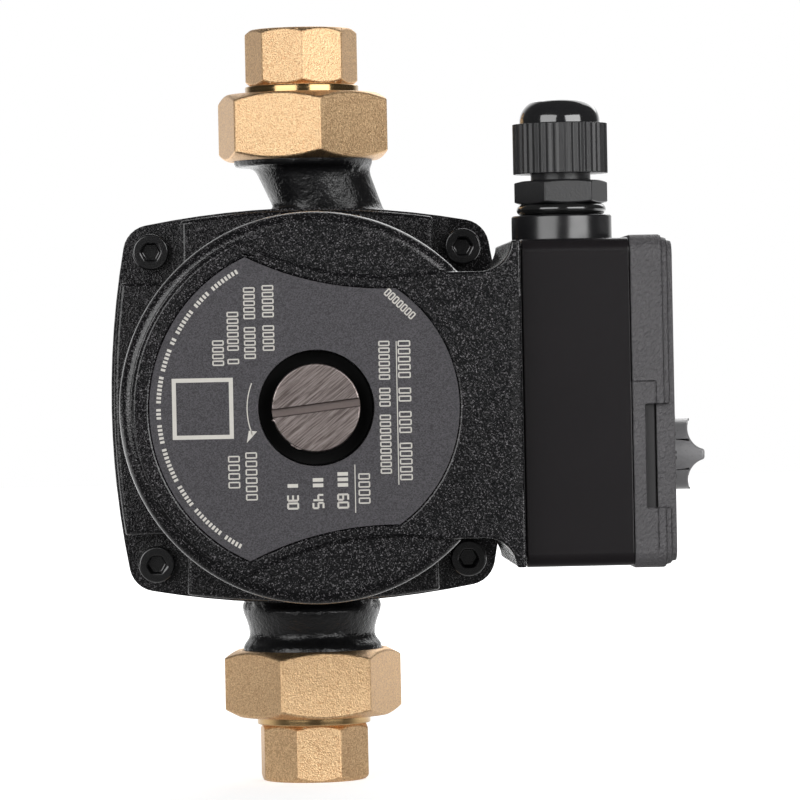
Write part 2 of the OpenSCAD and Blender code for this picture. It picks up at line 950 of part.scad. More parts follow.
module housing_screws() {
    color(black_coat)
        on_motor()
            at_screws()
                difference() {
                    union() {
                        translate([0, 0, joint_plane - screw_grip])
                            cylinder(d = screw_d, h = screw_grip + motor_flange_t + cut);
                        translate([0, 0, seat_plane])
                            rotate_extrude()
                                rounded_half(screw_head_d / 2, screw_head_h, screw_d / 10);
                    }
                    translate([0, 0, seat_plane + screw_head_h / 2])
                        cylinder(d = screw_socket / cos(30), h = screw_head_h, $fn = 6);
                }
}

module nameplate() {
    color(label_grey)
        on_motor()
            translate([0, 0, motor_front - label_recess])
                linear_extrude(label_t)
                    difference() {
                        label_outline(seat_gap);
                        circle(r = well_r + seat_gap);
                    }
}

module vent_plug() {
    head_start = plug_seat + plug_seal_t;
    color(nickel)
        on_motor()
            difference() {
                union() {
                    translate([0, 0, plug_seat - plug_shank])
                        cylinder(r = plug_thread_r, h = plug_shank + plug_seal_t + cut);
                    translate([0, 0, head_start])
                        rotate_extrude()
                            rounded_half(plug_r, plug_head_h, plug_edge);
                }
                rotate([0, 0, plug_slot_turn])
                    translate([-plug_d, -plug_slot / 2, head_start + plug_head_h - plug_slot_depth])
                        cube([2 * plug_d, plug_slot, plug_slot_depth + cut]);
            }
}

module vent_plug_seal() {
    color(rubber_black)
        on_motor()
            translate([0, 0, plug_seat])
                tube(plug_r - plug_edge, plug_thread_r + running_gap, plug_seal_t);
}

module box_gasket() {
    color(rubber_black)
        on_box()
            difference() {
                translate([-box_centre, 0, pad_x])
                    linear_extrude(box_start - pad_x)
                        rounded_rect(box_length - 2 * box_wall, 2 * (box_half - box_wall), box_corner_r);
                translate([-box_centre, 0, pad_x - cut])
                    linear_extrude(box_start - pad_x + 2 * cut)
                        rounded_rect(box_length - 6 * box_wall,
                            2 * (box_half - 3 * box_wall) - fix_screw_head_d, box_corner_r);
                for (side = [-1, 1])
                    translate([-box_centre, side * fix_height, pad_x - cut])
                        cylinder(r = fix_screw_d / 2 + seat_gap, h = box_start - pad_x + 2 * cut);
            }
}

module terminal_box_base() {
    color(gloss_black)
        difference() {
            union() {
                on_box() {
                    translate([-box_centre, 0, box_start])
                        linear_extrude(base_depth)
                            rounded_rect(box_length, 2 * box_half, box_corner_r);
                }
                translate([gland_x, -gland_y, axis_height + box_half - box_wall])
                    cylinder(d = gland_boss_d, h = gland_boss_h + box_wall);
            }
            on_box() {
                difference() {
                    translate([-box_centre, 0, box_start + box_wall])
                        linear_extrude(base_depth)
                            rounded_rect(box_length - 2 * box_wall, 2 * (box_half - box_wall),
                                box_corner_r - box_wall / 2);
                    cover_screw_columns(cover_screw_column_r, box_start, base_depth - lip_depth - seat_gap);
                    capacitor_cradle();
                }
                cover_screw_columns(cover_screw_d / 2 + running_gap, base_end - cover_screw_reach - cut,
                    cover_screw_reach + 2 * cut);
                translate([-lead_plane, lead_height, box_start - cut])
                    cylinder(r = grommet_r + seat_gap, h = box_wall + 2 * cut);
                for (side = [-1, 1])
                    translate([-box_centre, side * fix_height, box_start - cut])
                        cylinder(r = fix_screw_d / 2 + seat_gap, h = box_wall + 2 * cut);
                translate([-knob_axis, earth_height, box_start - cut])
                    cylinder(r = fix_screw_d / 2 + running_gap, h = box_wall + 2 * cut);
            }
            translate([gland_x, -gland_y, axis_height + box_half - 3 * box_wall])
                cylinder(r = gland_thread_r + running_gap, h = gland_boss_h + 4 * box_wall);
        }
}

// Two pads on the floor of the base that carry the capacitor
module capacitor_cradle() {
    difference() {
        for (end = [-1, 1])
            translate([capacitor_y - capacitor_r,
                end * capacitor_length / 3 + capacitor_z - cradle_t / 2, box_start])
                cube([2 * capacitor_r, cradle_t, box_wall + cradle_t + capacitor_r / 2]);
        translate([capacitor_y, capacitor_z - capacitor_length, capacitor_x])
            rotate([-90, 0, 0])
                cylinder(r = capacitor_r + running_gap, h = 2 * capacitor_length);
    }
}

module cover_screw_columns(r, from_x, length) {
    for (side = [-1, 1])
        translate([-box_front + cover_screw_inset, knob_height + side * cover_screw_offset, from_x])
            cylinder(r = r, h = length);
}

module box_fixing_screws() {
    color(steel)
        on_box()
            for (side = [-1, 1])
                translate([-box_centre, side * fix_height, 0])
                    difference() {
                        union() {
                            translate([0, 0, pad_x - fix_screw_grip + cut])
                                cylinder(d = fix_screw_d, h = fix_screw_grip + box_wall);
                            translate([0, 0, box_start + box_wall])
                                rotate_extrude()
                                    rounded_half(fix_screw_head_d / 2, fix_screw_head_h, fix_screw_head_h / 3);
                        }
                        for (turn = [0, 90])
                            rotate([0, 0, turn])
                                translate([0, 0, box_start + box_wall + fix_screw_head_h])
                                    cube([fix_screw_head_d / 2, fix_screw_d / 5, fix_screw_head_h],
                                        center = true);
                    }
}

module lead_grommet() {
    grommet_start = pad_x - box_wall;
    grommet_end = box_start + box_wall + grommet_lip_t;
    color(rubber_black)
        on_box()
            translate([-lead_plane, lead_height, 0])
                difference() {
                    union() {
                        translate([0, 0, grommet_start])
                            cylinder(r = grommet_r, h = grommet_end - grommet_start);
                        translate([0, 0, box_start + box_wall])
                            cylinder(r = grommet_r + grommet_lip, h = grommet_lip_t);
                    }
                    lead_runs(lead_r + running_gap, grommet_start - cut, grommet_end + cut);
                }
}

module lead_runs(r, from_x, to_x) {
    for (i = [0:lead_count - 1])
        translate([(i - (lead_count - 1) / 2) * lead_spread, 0, from_x])
            cylinder(r = r, h = to_x - from_x);
}

module winding_leads() {
    color("firebrick")
        on_box()
            translate([-lead_plane, lead_height, 0])
                lead_runs(lead_r, slot_outer_r + seat_gap, box_start + box_wall + block_stand);
}

module terminal_block() {
    block_start = box_start + box_wall;
    color(cream)
        on_box()
            difference() {
                translate([-lead_plane - block_length / 2, block_bottom, block_start])
                    cube([block_length, block_height, block_depth + block_stand]);
                translate([-lead_plane - block_length / 2 + box_wall, block_bottom - cut, block_start - cut])
                    cube([block_length - 2 * box_wall, block_height + 2 * cut, block_stand + cut]);
                for (i = [0:block_poles - 1])
                    translate([-lead_plane + (i - 1) * block_length / (block_poles + 1),
                        block_bottom + block_height / 2, block_start + block_stand + box_wall])
                        cylinder(r = terminal_screw_r + seat_gap, h = block_depth + cut);
            }
}

module terminal_screws() {
    color(steel)
        on_box()
            for (i = [0:block_poles - 1])
                translate([-lead_plane + (i - 1) * block_length / (block_poles + 1),
                    block_bottom + block_height / 2,
                    box_start + 2 * box_wall + block_stand])
                    difference() {
                        cylinder(r = terminal_screw_r, h = terminal_screw_h);
                        translate([0, 0, terminal_screw_h])
                            cube([2 * terminal_screw_r + cut, terminal_screw_r / 3, terminal_screw_r],
                                center = true);
                    }
}

module earth_screw() {
    color("gold")
        on_box()
            translate([-knob_axis, earth_height, box_start])
                difference() {
                    union() {
                        cylinder(d = fix_screw_d, h = box_wall + fix_screw_head_h / 2);
                        translate([0, 0, box_wall])
                            cylinder(d = fix_screw_head_d, h = fix_screw_head_h);
                    }
                    translate([0, 0, box_wall + fix_screw_head_h])
                        cube([fix_screw_head_d + cut, fix_screw_d / 5, fix_screw_head_h], center = true);
                }
}

module capacitor() {
    color("silver")
        on_box()
            translate([capacitor_y, capacitor_z - capacitor_length / 2, capacitor_x])
                rotate([-90, 0, 0])
                    union() {
                        cylinder(r = capacitor_r, h = capacitor_length);
                        for (side = [-1, 1])
                            translate([side * capacitor_r / 2, 0, capacitor_length])
                                cylinder(r = lead_r, h = cradle_t);
                    }
}

module cover_plan(grow) {
    translate([-box_centre, 0])
        rounded_rect(box_length + 2 * grow, 2 * (box_half + grow), cover_corner_r + grow);
}

module terminal_box_cover() {
    color(satin_black)
        on_box()
            difference() {
                union() {
                    translate([0, 0, base_end])
                        linear_extrude(cover_depth)
                            cover_plan(cover_grow);
                    translate([0, 0, cover_skirt_end])
                        linear_extrude(panel_rise / 2)
                            cover_plan(cover_grow - panel_inset / 2);
                    translate([0, 0, cover_skirt_end])
                        linear_extrude(panel_rise)
                            cover_plan(cover_grow - panel_inset);
                    translate([0, 0, base_end - lip_depth])
                        linear_extrude(lip_depth + cut)
                            difference() {
                                cover_plan(-box_wall - seat_gap);
                                cover_plan(-box_wall - lip_t);
                            }
                }
                difference() {
                    translate([0, 0, base_end - cut])
                        linear_extrude(panel_inner - base_end + cut)
                            cover_plan(-box_wall - lip_t);
                    cover_screw_columns(cover_screw_column_r, base_end - lip_depth, panel_face - base_end);
                }
                translate([0, 0, base_end - cut])
                    linear_extrude(seal_t + cut)
                        seal_ring(seat_gap);
                translate([-knob_axis, knob_height, dish_floor])
                    cylinder(r = knob_r + dish_gap, h = dish_depth + cut);
                translate([-knob_axis, knob_height, panel_inner - cut])
                    cylinder(r = spindle_r + seat_gap, h = box_wall + 2 * cut);
                translate([-box_front - cover_grow - cut, knob_height - scallop_half, scallop_start])
                    cube([scallop_depth + cut, 2 * scallop_half, panel_face]);
                cover_screw_columns(cover_screw_d / 2 + seat_gap, base_end - lip_depth - cut, panel_face);
                cover_screw_columns(cover_screw_head_d / 2 + seat_gap, panel_face - cover_screw_head_h - cut,
                    panel_rise + cut);
            }
}

// Ring of the seal that lies in a groove of the cover's skirt
module seal_ring(grow) {
    difference() {
        cover_plan(-box_wall / 3 + grow);
        cover_plan(-2 * box_wall / 3 - grow);
    }
}

module cover_seal() {
    color(rubber_black)
        on_box()
            translate([0, 0, base_end])
                linear_extrude(seal_t)
                    seal_ring(0);
}

module cover_screws() {
    head_base = panel_face - cover_screw_head_h - cut;
    color(black_coat)
        on_box()
            for (side = [-1, 1])
                translate([-box_front + cover_screw_inset, knob_height + side * cover_screw_offset, 0])
                    difference() {
                        union() {
                            translate([0, 0, base_end - cover_screw_reach])
                                cylinder(d = cover_screw_d, h = head_base - base_end + cover_screw_reach + cut);
                            translate([0, 0, head_base])
                                cylinder(d = cover_screw_head_d, h = cover_screw_head_h);
                        }
                        for (turn = [0, 90])
                            rotate([0, 0, turn])
                                translate([0, 0, head_base + cover_screw_head_h])
                                    cube([cover_screw_head_d / 2, cover_screw_d / 5, cover_screw_head_h],
                                        center = true);
                    }
}

module speed_switch() {
    color(cream)
        on_box()
            translate([-knob_axis, knob_height, panel_inner - switch_depth])
                difference() {
                    linear_extrude(switch_depth)
                        square(2 * switch_half, center = true);
                    translate([0, 0, switch_depth / 2])
                        cylinder(r = spindle_r + running_gap, h = switch_depth);
                }
}

module switch_spindle() {
    color(steel)
        on_box()
            translate([-knob_axis, knob_height, panel_inner - switch_depth / 3])
                cylinder(r = spindle_r, h = knob_base - panel_inner + switch_depth / 3 + knob_disc_h / 2);
}

// The fin's section: two hollow flanks rise from the disc's edge to a narrow ridge
module knob_section() {
    chord_x = knob_foot_half - knob_fin_half;
    chord_z = knob_rise - knob_disc_h;
    chord = sqrt(chord_x * chord_x + chord_z * chord_z);
    reach = sqrt(knob_flank_r * knob_flank_r - chord * chord / 4);
    difference() {
        translate([-knob_r, 0])
            square([2 * knob_r, knob_rise]);
        for (side = [-1, 1])
            translate([side * (knob_fin_half + chord_x / 2 + reach * chord_z / chord),
                knob_disc_h + chord_z / 2 + reach * chord_x / chord])
                circle(r = knob_flank_r);
    }
}

module speed_knob() {
    color(knob_black)
        on_box()
            translate([-knob_axis, knob_height, knob_base])
                difference() {
                    intersection() {
                        rotate([0, 0, 90])
                            translate([0, knob_d, 0])
                                rotate([90, 0, 0])
                                    linear_extrude(2 * knob_d)
                                        knob_section();
                        cylinder(r = knob_r, h = knob_rise);
                    }
                    translate([0, 0, -cut])
                        cylinder(r = spindle_r + running_gap, h = knob_disc_h / 2 + cut + running_gap);
                }
}

module on_gland() {
    translate([gland_x, -gland_y, axis_height])
        children();
}

module gland_body() {
    color(satin_black)
        on_gland()
            difference() {
                union() {
                    translate([0, 0, box_half - box_wall - gland_reach])
                        cylinder(r = gland_thread_r, h = gland_boss_h + box_wall + gland_reach);
                    translate([0, 0, boss_top - cut])
                        cylinder(r = o_ring_neck_r, h = hex_base - boss_top + 2 * cut);
                    translate([0, 0, hex_base])
                        chamfered_prism(6, gland_flats, gland_hex_h, plug_edge, gland_turn);
                    translate([0, 0, hex_top])
                        cylinder(r = gland_neck_r, h = gland_neck_h);
                }
                translate([0, 0, box_half - box_wall - gland_reach - cut])
                    cylinder(r = gland_bore_r, h = dome_top);
            }
}

module gland_o_ring() {
    color(rubber_black)
        on_gland()
            translate([0, 0, boss_top + o_ring_r + seat_gap / 2])
                rotate_extrude()
                    translate([o_ring_neck_r + o_ring_r + running_gap, 0])
                        circle(r = o_ring_r);
}

module gland_seal_insert() {
    color(rubber_black)
        on_gland()
            translate([0, 0, insert_base])
                tube(insert_outer_r, cable_r, dome_top - dome_lip - running_gap - insert_base);
}

module ribbed_outline() {
    polygon([for (i = [0:2 * rib_count - 1])
        let (a = 180 * i / rib_count, r = dome_nut_d / 2 - (i % 2) * rib_depth)
        [r * cos(a), r * sin(a)]]);
}

module gland_dome_nut() {
    color(satin_black)
        on_gland()
            difference() {
                union() {
                    translate([0, 0, nut_base])
                        linear_extrude(dome_nut_h)
                            ribbed_outline();
                    translate([0, 0, nut_base])
                        rotate_extrude()
                            rounded_half(dome_d / 2, dome_nut_h + dome_h, dome_round);
                }
                translate([0, 0, nut_base - cut])
                    cylinder(r = gland_neck_r + running_gap, h = dome_nut_h + cut);
                translate([0, 0, nut_base])
                    cylinder(r = insert_outer_r + running_gap, h = dome_nut_h + dome_h - dome_lip);
                translate([0, 0, nut_base])
                    cylinder(r = dome_mouth_r, h = dome_nut_h + dome_h + cut);
            }
}

module union_nut(turn) {
    difference() {
        translate([0, 0, -nut_drop])
            chamfered_prism(6, nut_flats, nut_height, nut_chamfer_rise, turn);
        translate([0, 0, -nut_drop - cut])
            cylinder(r = nut_bore_r, h = nut_height - nut_lip + cut);
        translate([0, 0, -nut_drop])
            cylinder(r = barrel_r + barrel_gap, h = nut_height + cut);
    }
}

module tailpiece(turn) {
    barrel_length = collar_t + nut_lip + barrel_show;
    translate([0, 0, union_gasket_t])
        difference() {
            union() {
                cylinder(r = collar_r, h = collar_t);
                cylinder(r = barrel_r, h = barrel_length);
                translate([0, 0, barrel_length])
                    chamfered_prism(8, octagon_flats, octagon_height, octagon_chamfer_rise, turn);
            }
            translate([0, 0, -cut])
                cylinder(d = tail_bore_d, h = barrel_length + octagon_height + 2 * cut);
            translate([0, 0, barrel_length + octagon_height - tail_thread_length])
                cylinder(d = tail_thread_d, h = tail_thread_length + cut);
        }
}

module union_gasket() {
    tube(collar_r, tail_bore_d / 2, union_gasket_t);
}

module outlet_union_nut() {
    color(brass_cast)
        on_outlet()
            union_nut(outlet_nut_turn);
}

module outlet_tailpiece() {
    color(brass_cast)
        on_outlet()
            tailpiece(outlet_octagon_turn);
}

module outlet_gasket() {
    color(fibre)
        on_outlet()
            union_gasket();
}

module inlet_union_nut() {
    color(brass_cast)
        on_inlet()
            union_nut(inlet_nut_turn);
}

module inlet_tailpiece() {
    color(brass_cast)
        on_inlet()
            tailpiece(inlet_octagon_turn);
}

module inlet_gasket() {
    color(fibre)
        on_inlet()
            union_gasket();
}

pump_housing();
neck_ring();
impeller();
impeller_retainer();
shaft();
rotor_core();
thrust_bearing();
front_bearing();
bearing_plate();
rotor_can();
rear_bearing();
housing_gasket();
stator_core();
winding_insulators();
stator_windings();
motor_housing();
housing_screws();
nameplate();
vent_plug();
vent_plug_seal();
box_gasket();
terminal_box_base();
box_fixing_screws();
lead_grommet();
winding_leads();
capacitor();
terminal_block();
terminal_screws();
earth_screw();
terminal_box_cover();
cover_seal();
cover_screws();
speed_switch();
switch_spindle();
speed_knob();
gland_body();
gland_o_ring();
gland_seal_insert();
gland_dome_nut();
outlet_union_nut();
outlet_tailpiece();
outlet_gasket();
inlet_union_nut();
inlet_tailpiece();
inlet_gasket();
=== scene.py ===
# %% [markdown]
# A hot water circulation pump, dressed for a studio photograph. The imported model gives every
# piece its exact place and size. This lesson gives each visible piece its soft edges, its
# castings and mouldings their skin, and the motor's nameplate its print. The pipe runs along Z,
# the motor's face looks toward -Y, and the terminal box stands on the +X side.

# %% Load the frame
import json
from math import cos, hypot, pi, radians, sin

import bmesh
import bpy
from mathutils import Matrix, Vector


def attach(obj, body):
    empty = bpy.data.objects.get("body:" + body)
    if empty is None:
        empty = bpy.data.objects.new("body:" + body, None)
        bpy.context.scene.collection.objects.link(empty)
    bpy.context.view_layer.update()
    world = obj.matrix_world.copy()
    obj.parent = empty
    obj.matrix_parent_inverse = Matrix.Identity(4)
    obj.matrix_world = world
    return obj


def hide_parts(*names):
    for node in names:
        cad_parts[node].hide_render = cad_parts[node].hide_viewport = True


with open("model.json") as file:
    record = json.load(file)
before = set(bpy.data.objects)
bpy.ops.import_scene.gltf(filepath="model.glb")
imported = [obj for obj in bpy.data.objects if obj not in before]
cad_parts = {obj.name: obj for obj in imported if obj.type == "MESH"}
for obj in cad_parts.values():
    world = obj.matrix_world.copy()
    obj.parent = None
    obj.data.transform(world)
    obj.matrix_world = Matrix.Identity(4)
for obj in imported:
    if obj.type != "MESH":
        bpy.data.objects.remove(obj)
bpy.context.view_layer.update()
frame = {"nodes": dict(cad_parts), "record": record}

# %% [markdown]
# The real object is drawn in millimetres, and Blender's scene is in metres. One factor turns
# every length below into metres, so the numbers stay the ones a fitter would read off a rule.

# %% Lengths that the pieces share
MM = 0.001
AXIS_HEIGHT = 89.4
FACE_FRONT = 97.0


def mm(*lengths):
    """A point or a size given in millimetres, in metres."""
    return Vector([length * MM for length in lengths])


def placed(name, data):
    """A new object in the scene."""
    made = bpy.data.objects.new(name, data)
    bpy.context.scene.collection.objects.link(made)
    return made


def mesh_of(name, form):
    """The mesh that a form becomes when no more work is done on it."""
    mesh = bpy.data.meshes.new(name)
    form.to_mesh(mesh)
    form.free()
    return mesh


print("the motor's axis stands", AXIS_HEIGHT, "mm above the end of the pipe")

# %% [markdown]
# The photographer stood 1.2 m away and used a long lens, so the pump shows almost no
# perspective. The camera is turned a little to frame the pump, rather than shifted, because a
# turned camera keeps its picture centred when the view moves round the object.

# %% The camera
PICTURE_WIDTH_PX = 800
FOCAL_LENGTH_PX = 5028
SENSOR_WIDTH_MM = 36

camera_data = bpy.data.cameras.new("photo_camera")
camera_data.sensor_width = SENSOR_WIDTH_MM
camera_data.lens = FOCAL_LENGTH_PX * SENSOR_WIDTH_MM / PICTURE_WIDTH_PX
camera_data.clip_start = 0.05
camera_data.clip_end = 20
camera = placed("photo_camera", camera_data)
bpy.context.scene.camera = camera

CAMERA_ROLL = radians(1.13)
CAMERA_PLACE = mm(-22.8, -1200, 99)
looking = Vector((0.03735, 1, -0.00746)).normalized()
level_right = looking.cross(Vector((0, 0, 1))).normalized()
level_up = level_right.cross(looking)
picture_right = cos(CAMERA_ROLL) * level_right - sin(CAMERA_ROLL) * level_up
picture_up = sin(CAMERA_ROLL) * level_right + cos(CAMERA_ROLL) * level_up
turned = Matrix((picture_right, picture_up, -looking)).transposed()
camera.matrix_world = Matrix.Translation(CAMERA_PLACE) @ turned.to_4x4()
print("the lens is", round(camera_data.lens), "mm long")

# %% [markdown]
# Two upright soft boxes stand left and right of the camera. They give every rounded black
# piece its pair of bright windows. The room behind the camera is dark, so black plastic stays
# black, and the white background behind the pump shows at the edges of metal and gloss.

# %% Soft boxes
bpy.context.scene.view_settings.view_transform = "Standard"
LAMP_DISTANCE = 1.3
LAMP_TARGET = mm(10, -40, AXIS_HEIGHT)


def soft_box(name, azimuth, elevation, width, height, power):
    """An area lamp that looks at the pump from an angle beside the camera."""
    lamp = bpy.data.lights.new(name, "AREA")
    lamp.shape = "RECTANGLE"
    lamp.size = width
    lamp.size_y = height
    lamp.energy = power
    across = LAMP_DISTANCE * cos(radians(elevation))
    spot = LAMP_TARGET + Vector((across * sin(radians(azimuth)),
                                 -across * cos(radians(azimuth)),
                                 LAMP_DISTANCE * sin(radians(elevation))))
    aim = (LAMP_TARGET - spot).to_track_quat("-Z", "Y").to_matrix().to_4x4()
    placed(name, lamp).matrix_world = Matrix.Translation(spot) @ aim


soft_box("left_soft_box", -35, 14, 1.1, 0.85, 8.5)
soft_box("right_soft_box", 37, 10, 1.02, 0.85, 11)
soft_box("rear_fill", 160, 35, 1.0, 0.8, 4)
print("three soft boxes light the pump")

# %% [markdown]
# Every finish below is a recipe of nodes. Writing it with nodes alone is long, so one class
# makes the nodes of a material, and a second one wraps a socket, so that sums of patterns are
# written as plain arithmetic.

# %% A small language for materials
class Signal:
    """A number that varies over a surface, ready for arithmetic."""

    def __init__(self, recipe, socket):
        self.recipe = recipe
        self.socket = socket

    def math(self, operation, first, second):
        made = self.recipe.node("ShaderNodeMath", {"operation": operation}, {0: first, 1: second})
        return Signal(self.recipe, made.outputs[0])

    def __add__(self, other):
        return self.math("ADD", self, other)

    __radd__ = __add__

    def __sub__(self, other):
        return self.math("SUBTRACT", self, other)

    def __rsub__(self, other):
        return self.math("SUBTRACT", other, self)

    def __mul__(self, other):
        return self.math("MULTIPLY", self, other)

    __rmul__ = __mul__

    def __pow__(self, other):
        return self.math("POWER", self, other)

    def above(self, limit):
        return self.math("GREATER_THAN", self, limit)

    def below(self, limit):
        return self.math("LESS_THAN", self, limit)

    def between(self, low, high):
        """0 at low, 1 at high, and smooth in the middle."""
        made = self.recipe.node("ShaderNodeMapRange", {"interpolation_type": "SMOOTHSTEP"},
                                {"Value": self, "From Min": low, "From Max": high})
        return Signal(self.recipe, made.outputs["Result"])


class Recipe:
    """One material, and the nodes that make it."""

    def __init__(self, name):
        self.material = bpy.data.materials.new(name)
        self.material.use_nodes = True
        self.tree = self.material.node_tree
        self.surface = self.tree.nodes["Principled BSDF"]
        self.place = self.node("ShaderNodeTexCoord").outputs["Object"]

    def node(self, kind, settings=None, values=None):
        made = self.tree.nodes.new(kind)
        for name, value in (settings or {}).items():
            setattr(made, name, value)
        for name, value in (values or {}).items():
            self.feed(made.inputs[name], value)
        return made

    def feed(self, socket, value):
        if isinstance(value, Signal):
            value = value.socket
        if isinstance(value, bpy.types.NodeSocket):
            self.tree.links.new(value, socket)
        else:
            socket.default_value = value

    def skin(self, **values):
        """Sets sockets of the surface: base_color stands for Base Color, and so on."""
        for name, value in values.items():
            title = name.replace("_", " ").title().replace("Ior", "IOR")
            self.feed(self.surface.inputs[title], value)

    def axis(self, letter):
        parts = self.node("ShaderNodeSeparateXYZ", None, {"Vector": self.place})
        return Signal(self, parts.outputs[letter])

    def moved(self, turn=(0, 0, 0), stretch=(1, 1, 1), centre=(0, 0, 0)):
        """The surface's place, centred, then turned, then stretched."""
        centred = self.node("ShaderNodeVectorMath", {"operation": "SUBTRACT"},
                            {0: self.place, 1: centre})
        turned_place = self.node("ShaderNodeMapping", {"vector_type": "POINT"},
                                 {"Vector": centred.outputs[0], "Rotation": turn})
        made = self.node("ShaderNodeVectorMath", {"operation": "MULTIPLY"},
                         {0: turned_place.outputs[0], 1: stretch})
        return made.outputs[0]

    def noise(self, size_mm, detail=2.0, rough=0.5, place=None):
        made = self.node("ShaderNodeTexNoise", None,
                         {"Vector": place or self.place, "Scale": 1000 / size_mm,
                          "Detail": detail, "Roughness": rough})
        return Signal(self, made.outputs[0])

    def grains(self, size_mm):
        """A random number for each grain of a speckle."""
        cells = self.node("ShaderNodeTexVoronoi", {"feature": "F1"},
                          {"Vector": self.place, "Scale": 1000 / size_mm})
        red = self.node("ShaderNodeSeparateColor", None, {"Color": cells.outputs["Color"]})
        return Signal(self, red.outputs[0])

    def blend(self, factor, first, second):
        """A colour between two colours."""
        made = self.node("ShaderNodeMix", {"data_type": "RGBA"}, {0: factor, 6: first, 7: second})
        return made.outputs[2]

    def bumps(self, height, depth_mm, strength=1.0):
        made = self.node("ShaderNodeBump", None,
                         {"Height": height, "Distance": depth_mm * MM, "Strength": strength})
        self.skin(normal=made.outputs[0])


def rgb(red, green, blue):
    """A colour as a shader takes it."""
    return (red, green, blue, 1.0)


print("materials can now be written as sums of patterns")

# %% [markdown]
# The room gives a soft even light. Camera rays see a white background all round. Mirror-like
# rays see that white behind the pump and a dark room in front of it, as they did in the studio.

# %% The room
room = bpy.data.worlds.new("studio_room")
room.use_nodes = True
bpy.context.scene.world = room


class RoomRecipe(Recipe):
    """The same node language for the world."""

    def __init__(self, world):
        self.tree = world.node_tree
        self.surface = self.tree.nodes["Background"]
        self.place = self.node("ShaderNodeTexCoord").outputs["Generated"]


light_of_room = RoomRecipe(room)
rays = light_of_room.node("ShaderNodeLightPath")
seen = Signal(light_of_room, rays.outputs["Is Camera Ray"])
mirrored = (Signal(light_of_room, rays.outputs["Is Glossy Ray"])
            + Signal(light_of_room, rays.outputs["Is Transmission Ray"]))
behind = light_of_room.axis("Y").between(0.6, 0.95)
SOFT_LIGHT = 0.28
DARK_ROOM = 0.07
strength = (seen + mirrored * (behind * (1 - DARK_ROOM) + DARK_ROOM)
            + (1 - seen - mirrored) * SOFT_LIGHT)
light_of_room.skin(color=rgb(1, 1, 1), strength=strength)
print("the room is white to the camera")

# %% [markdown]
# The floor is a wide sheet of pale paper. It glows to the camera, and more so far away, so that it
# melts into the white background and still keeps the pump's shadow. Mirror-like rays see it white
# behind the pump. In front they see it dark, like the room that the photographer stood in.

# %% The floor
NEAR_GLOW = 0.62
FAR_GLOW = 0.5

floor_form = bmesh.new()
bmesh.ops.create_grid(floor_form, x_segments=1, y_segments=1, size=3)
floor = placed("floor", mesh_of("floor", floor_form))

paper = Recipe("floor_paper")
paper.skin(roughness=0.9, emission_strength=1.0)
paper_rays = paper.node("ShaderNodeLightPath")
paper_mirrored = (Signal(paper, paper_rays.outputs["Is Glossy Ray"])
                  + Signal(paper, paper_rays.outputs["Is Transmission Ray"]))
paper_behind = paper.axis("Y").between(-0.12, 0.1)
paper_seen = Signal(paper, paper_rays.outputs["Is Camera Ray"]) + paper_mirrored * paper_behind
paper_dark = paper_mirrored * (1 - paper_behind)
span = paper.node("ShaderNodeVectorMath", {"operation": "LENGTH"}, {0: paper.place})
far_away = Signal(paper, span.outputs["Value"]).between(0.1, 0.5)
paper.skin(emission_color=paper_seen * (far_away * FAR_GLOW + NEAR_GLOW),
           base_color=paper.blend(paper_dark, rgb(0.82, 0.82, 0.82), rgb(0.1, 0.1, 0.1)))
floor.data.materials.append(paper.material)
print("a pale floor lies under the pump")

# %% [markdown]
# Cast brass comes out of a blasting cabinet with a fine even grain that glitters. A speckle of
# grains changes the colour a little, and a noise of nearly the same size makes the dents. The
# ring that was turned on a lathe is smooth, with hair-fine grooves round the pipe.

# %% Brass finishes
blasted_brass = Recipe("blasted_brass")
brass_grain = blasted_brass.noise(0.34, detail=2, rough=0.6)
brass_speckle = blasted_brass.grains(0.3)
brass_tone = (brass_grain * 0.7 + brass_speckle * 0.3).between(0.25, 0.75)
blasted_brass.skin(metallic=1.0, roughness=brass_speckle * 0.16 + 0.34,
                   base_color=blasted_brass.blend(brass_tone, rgb(0.62, 0.365, 0.19),
                                                  rgb(0.98, 0.71, 0.41)))
blasted_brass.bumps(brass_grain, 0.14, 0.9)

turned_brass = Recipe("turned_brass")
turning_marks = turned_brass.noise(0.5, place=turned_brass.moved(stretch=(0.02, 0.02, 1)))
turned_brass.skin(metallic=1.0, roughness=turning_marks * 0.12 + 0.08,
                  base_color=turned_brass.blend(turning_marks, rgb(0.4, 0.25, 0.11),
                                                rgb(0.6, 0.41, 0.2)))
turned_brass.bumps(turning_marks, 0.02, 0.5)

threaded_brass = Recipe("threaded_brass")
PIPE_THREAD_PITCH = 1.814
WAVE_RADIANS = 20  # what the wave texture turns through in each unit of its scale
thread_wave = threaded_brass.node("ShaderNodeTexWave",
                                  {"bands_direction": "Z", "wave_profile": "TRI"},
                                  {"Vector": threaded_brass.place,
                                   "Scale": 2 * pi / (WAVE_RADIANS * PIPE_THREAD_PITCH * MM)})
thread_height = Signal(threaded_brass, thread_wave.outputs[1])
threaded_brass.skin(metallic=1.0, roughness=0.3,
                    base_color=threaded_brass.blend(thread_height, rgb(0.25, 0.15, 0.07),
                                                    rgb(0.55, 0.37, 0.18)))
threaded_brass.bumps(thread_height, 0.8)
print("three brass finishes are ready")

# %% [markdown]
# The pump housing is a grey iron casting under thick glossy black paint. The paint runs smooth
# over the sand's dimples, so the dents are soft and the gloss is high. The motor housing is die
# cast and has a black powder coat with a fine sparkle: thousands of tiny facets that catch light,
# and pale specks in its colour that paint more glints on it. Three fine ribs run down the wing
# beside the terminal box, and the coat's bumps carry them too.

# %% Black paints
RIB_LOW = -19.3
RIB_HIGH = 23.5
RIB_PLACES = (43.5, 44.25, 45.0)
RIB_WIDTH = 0.26
RIB_RISE = 3

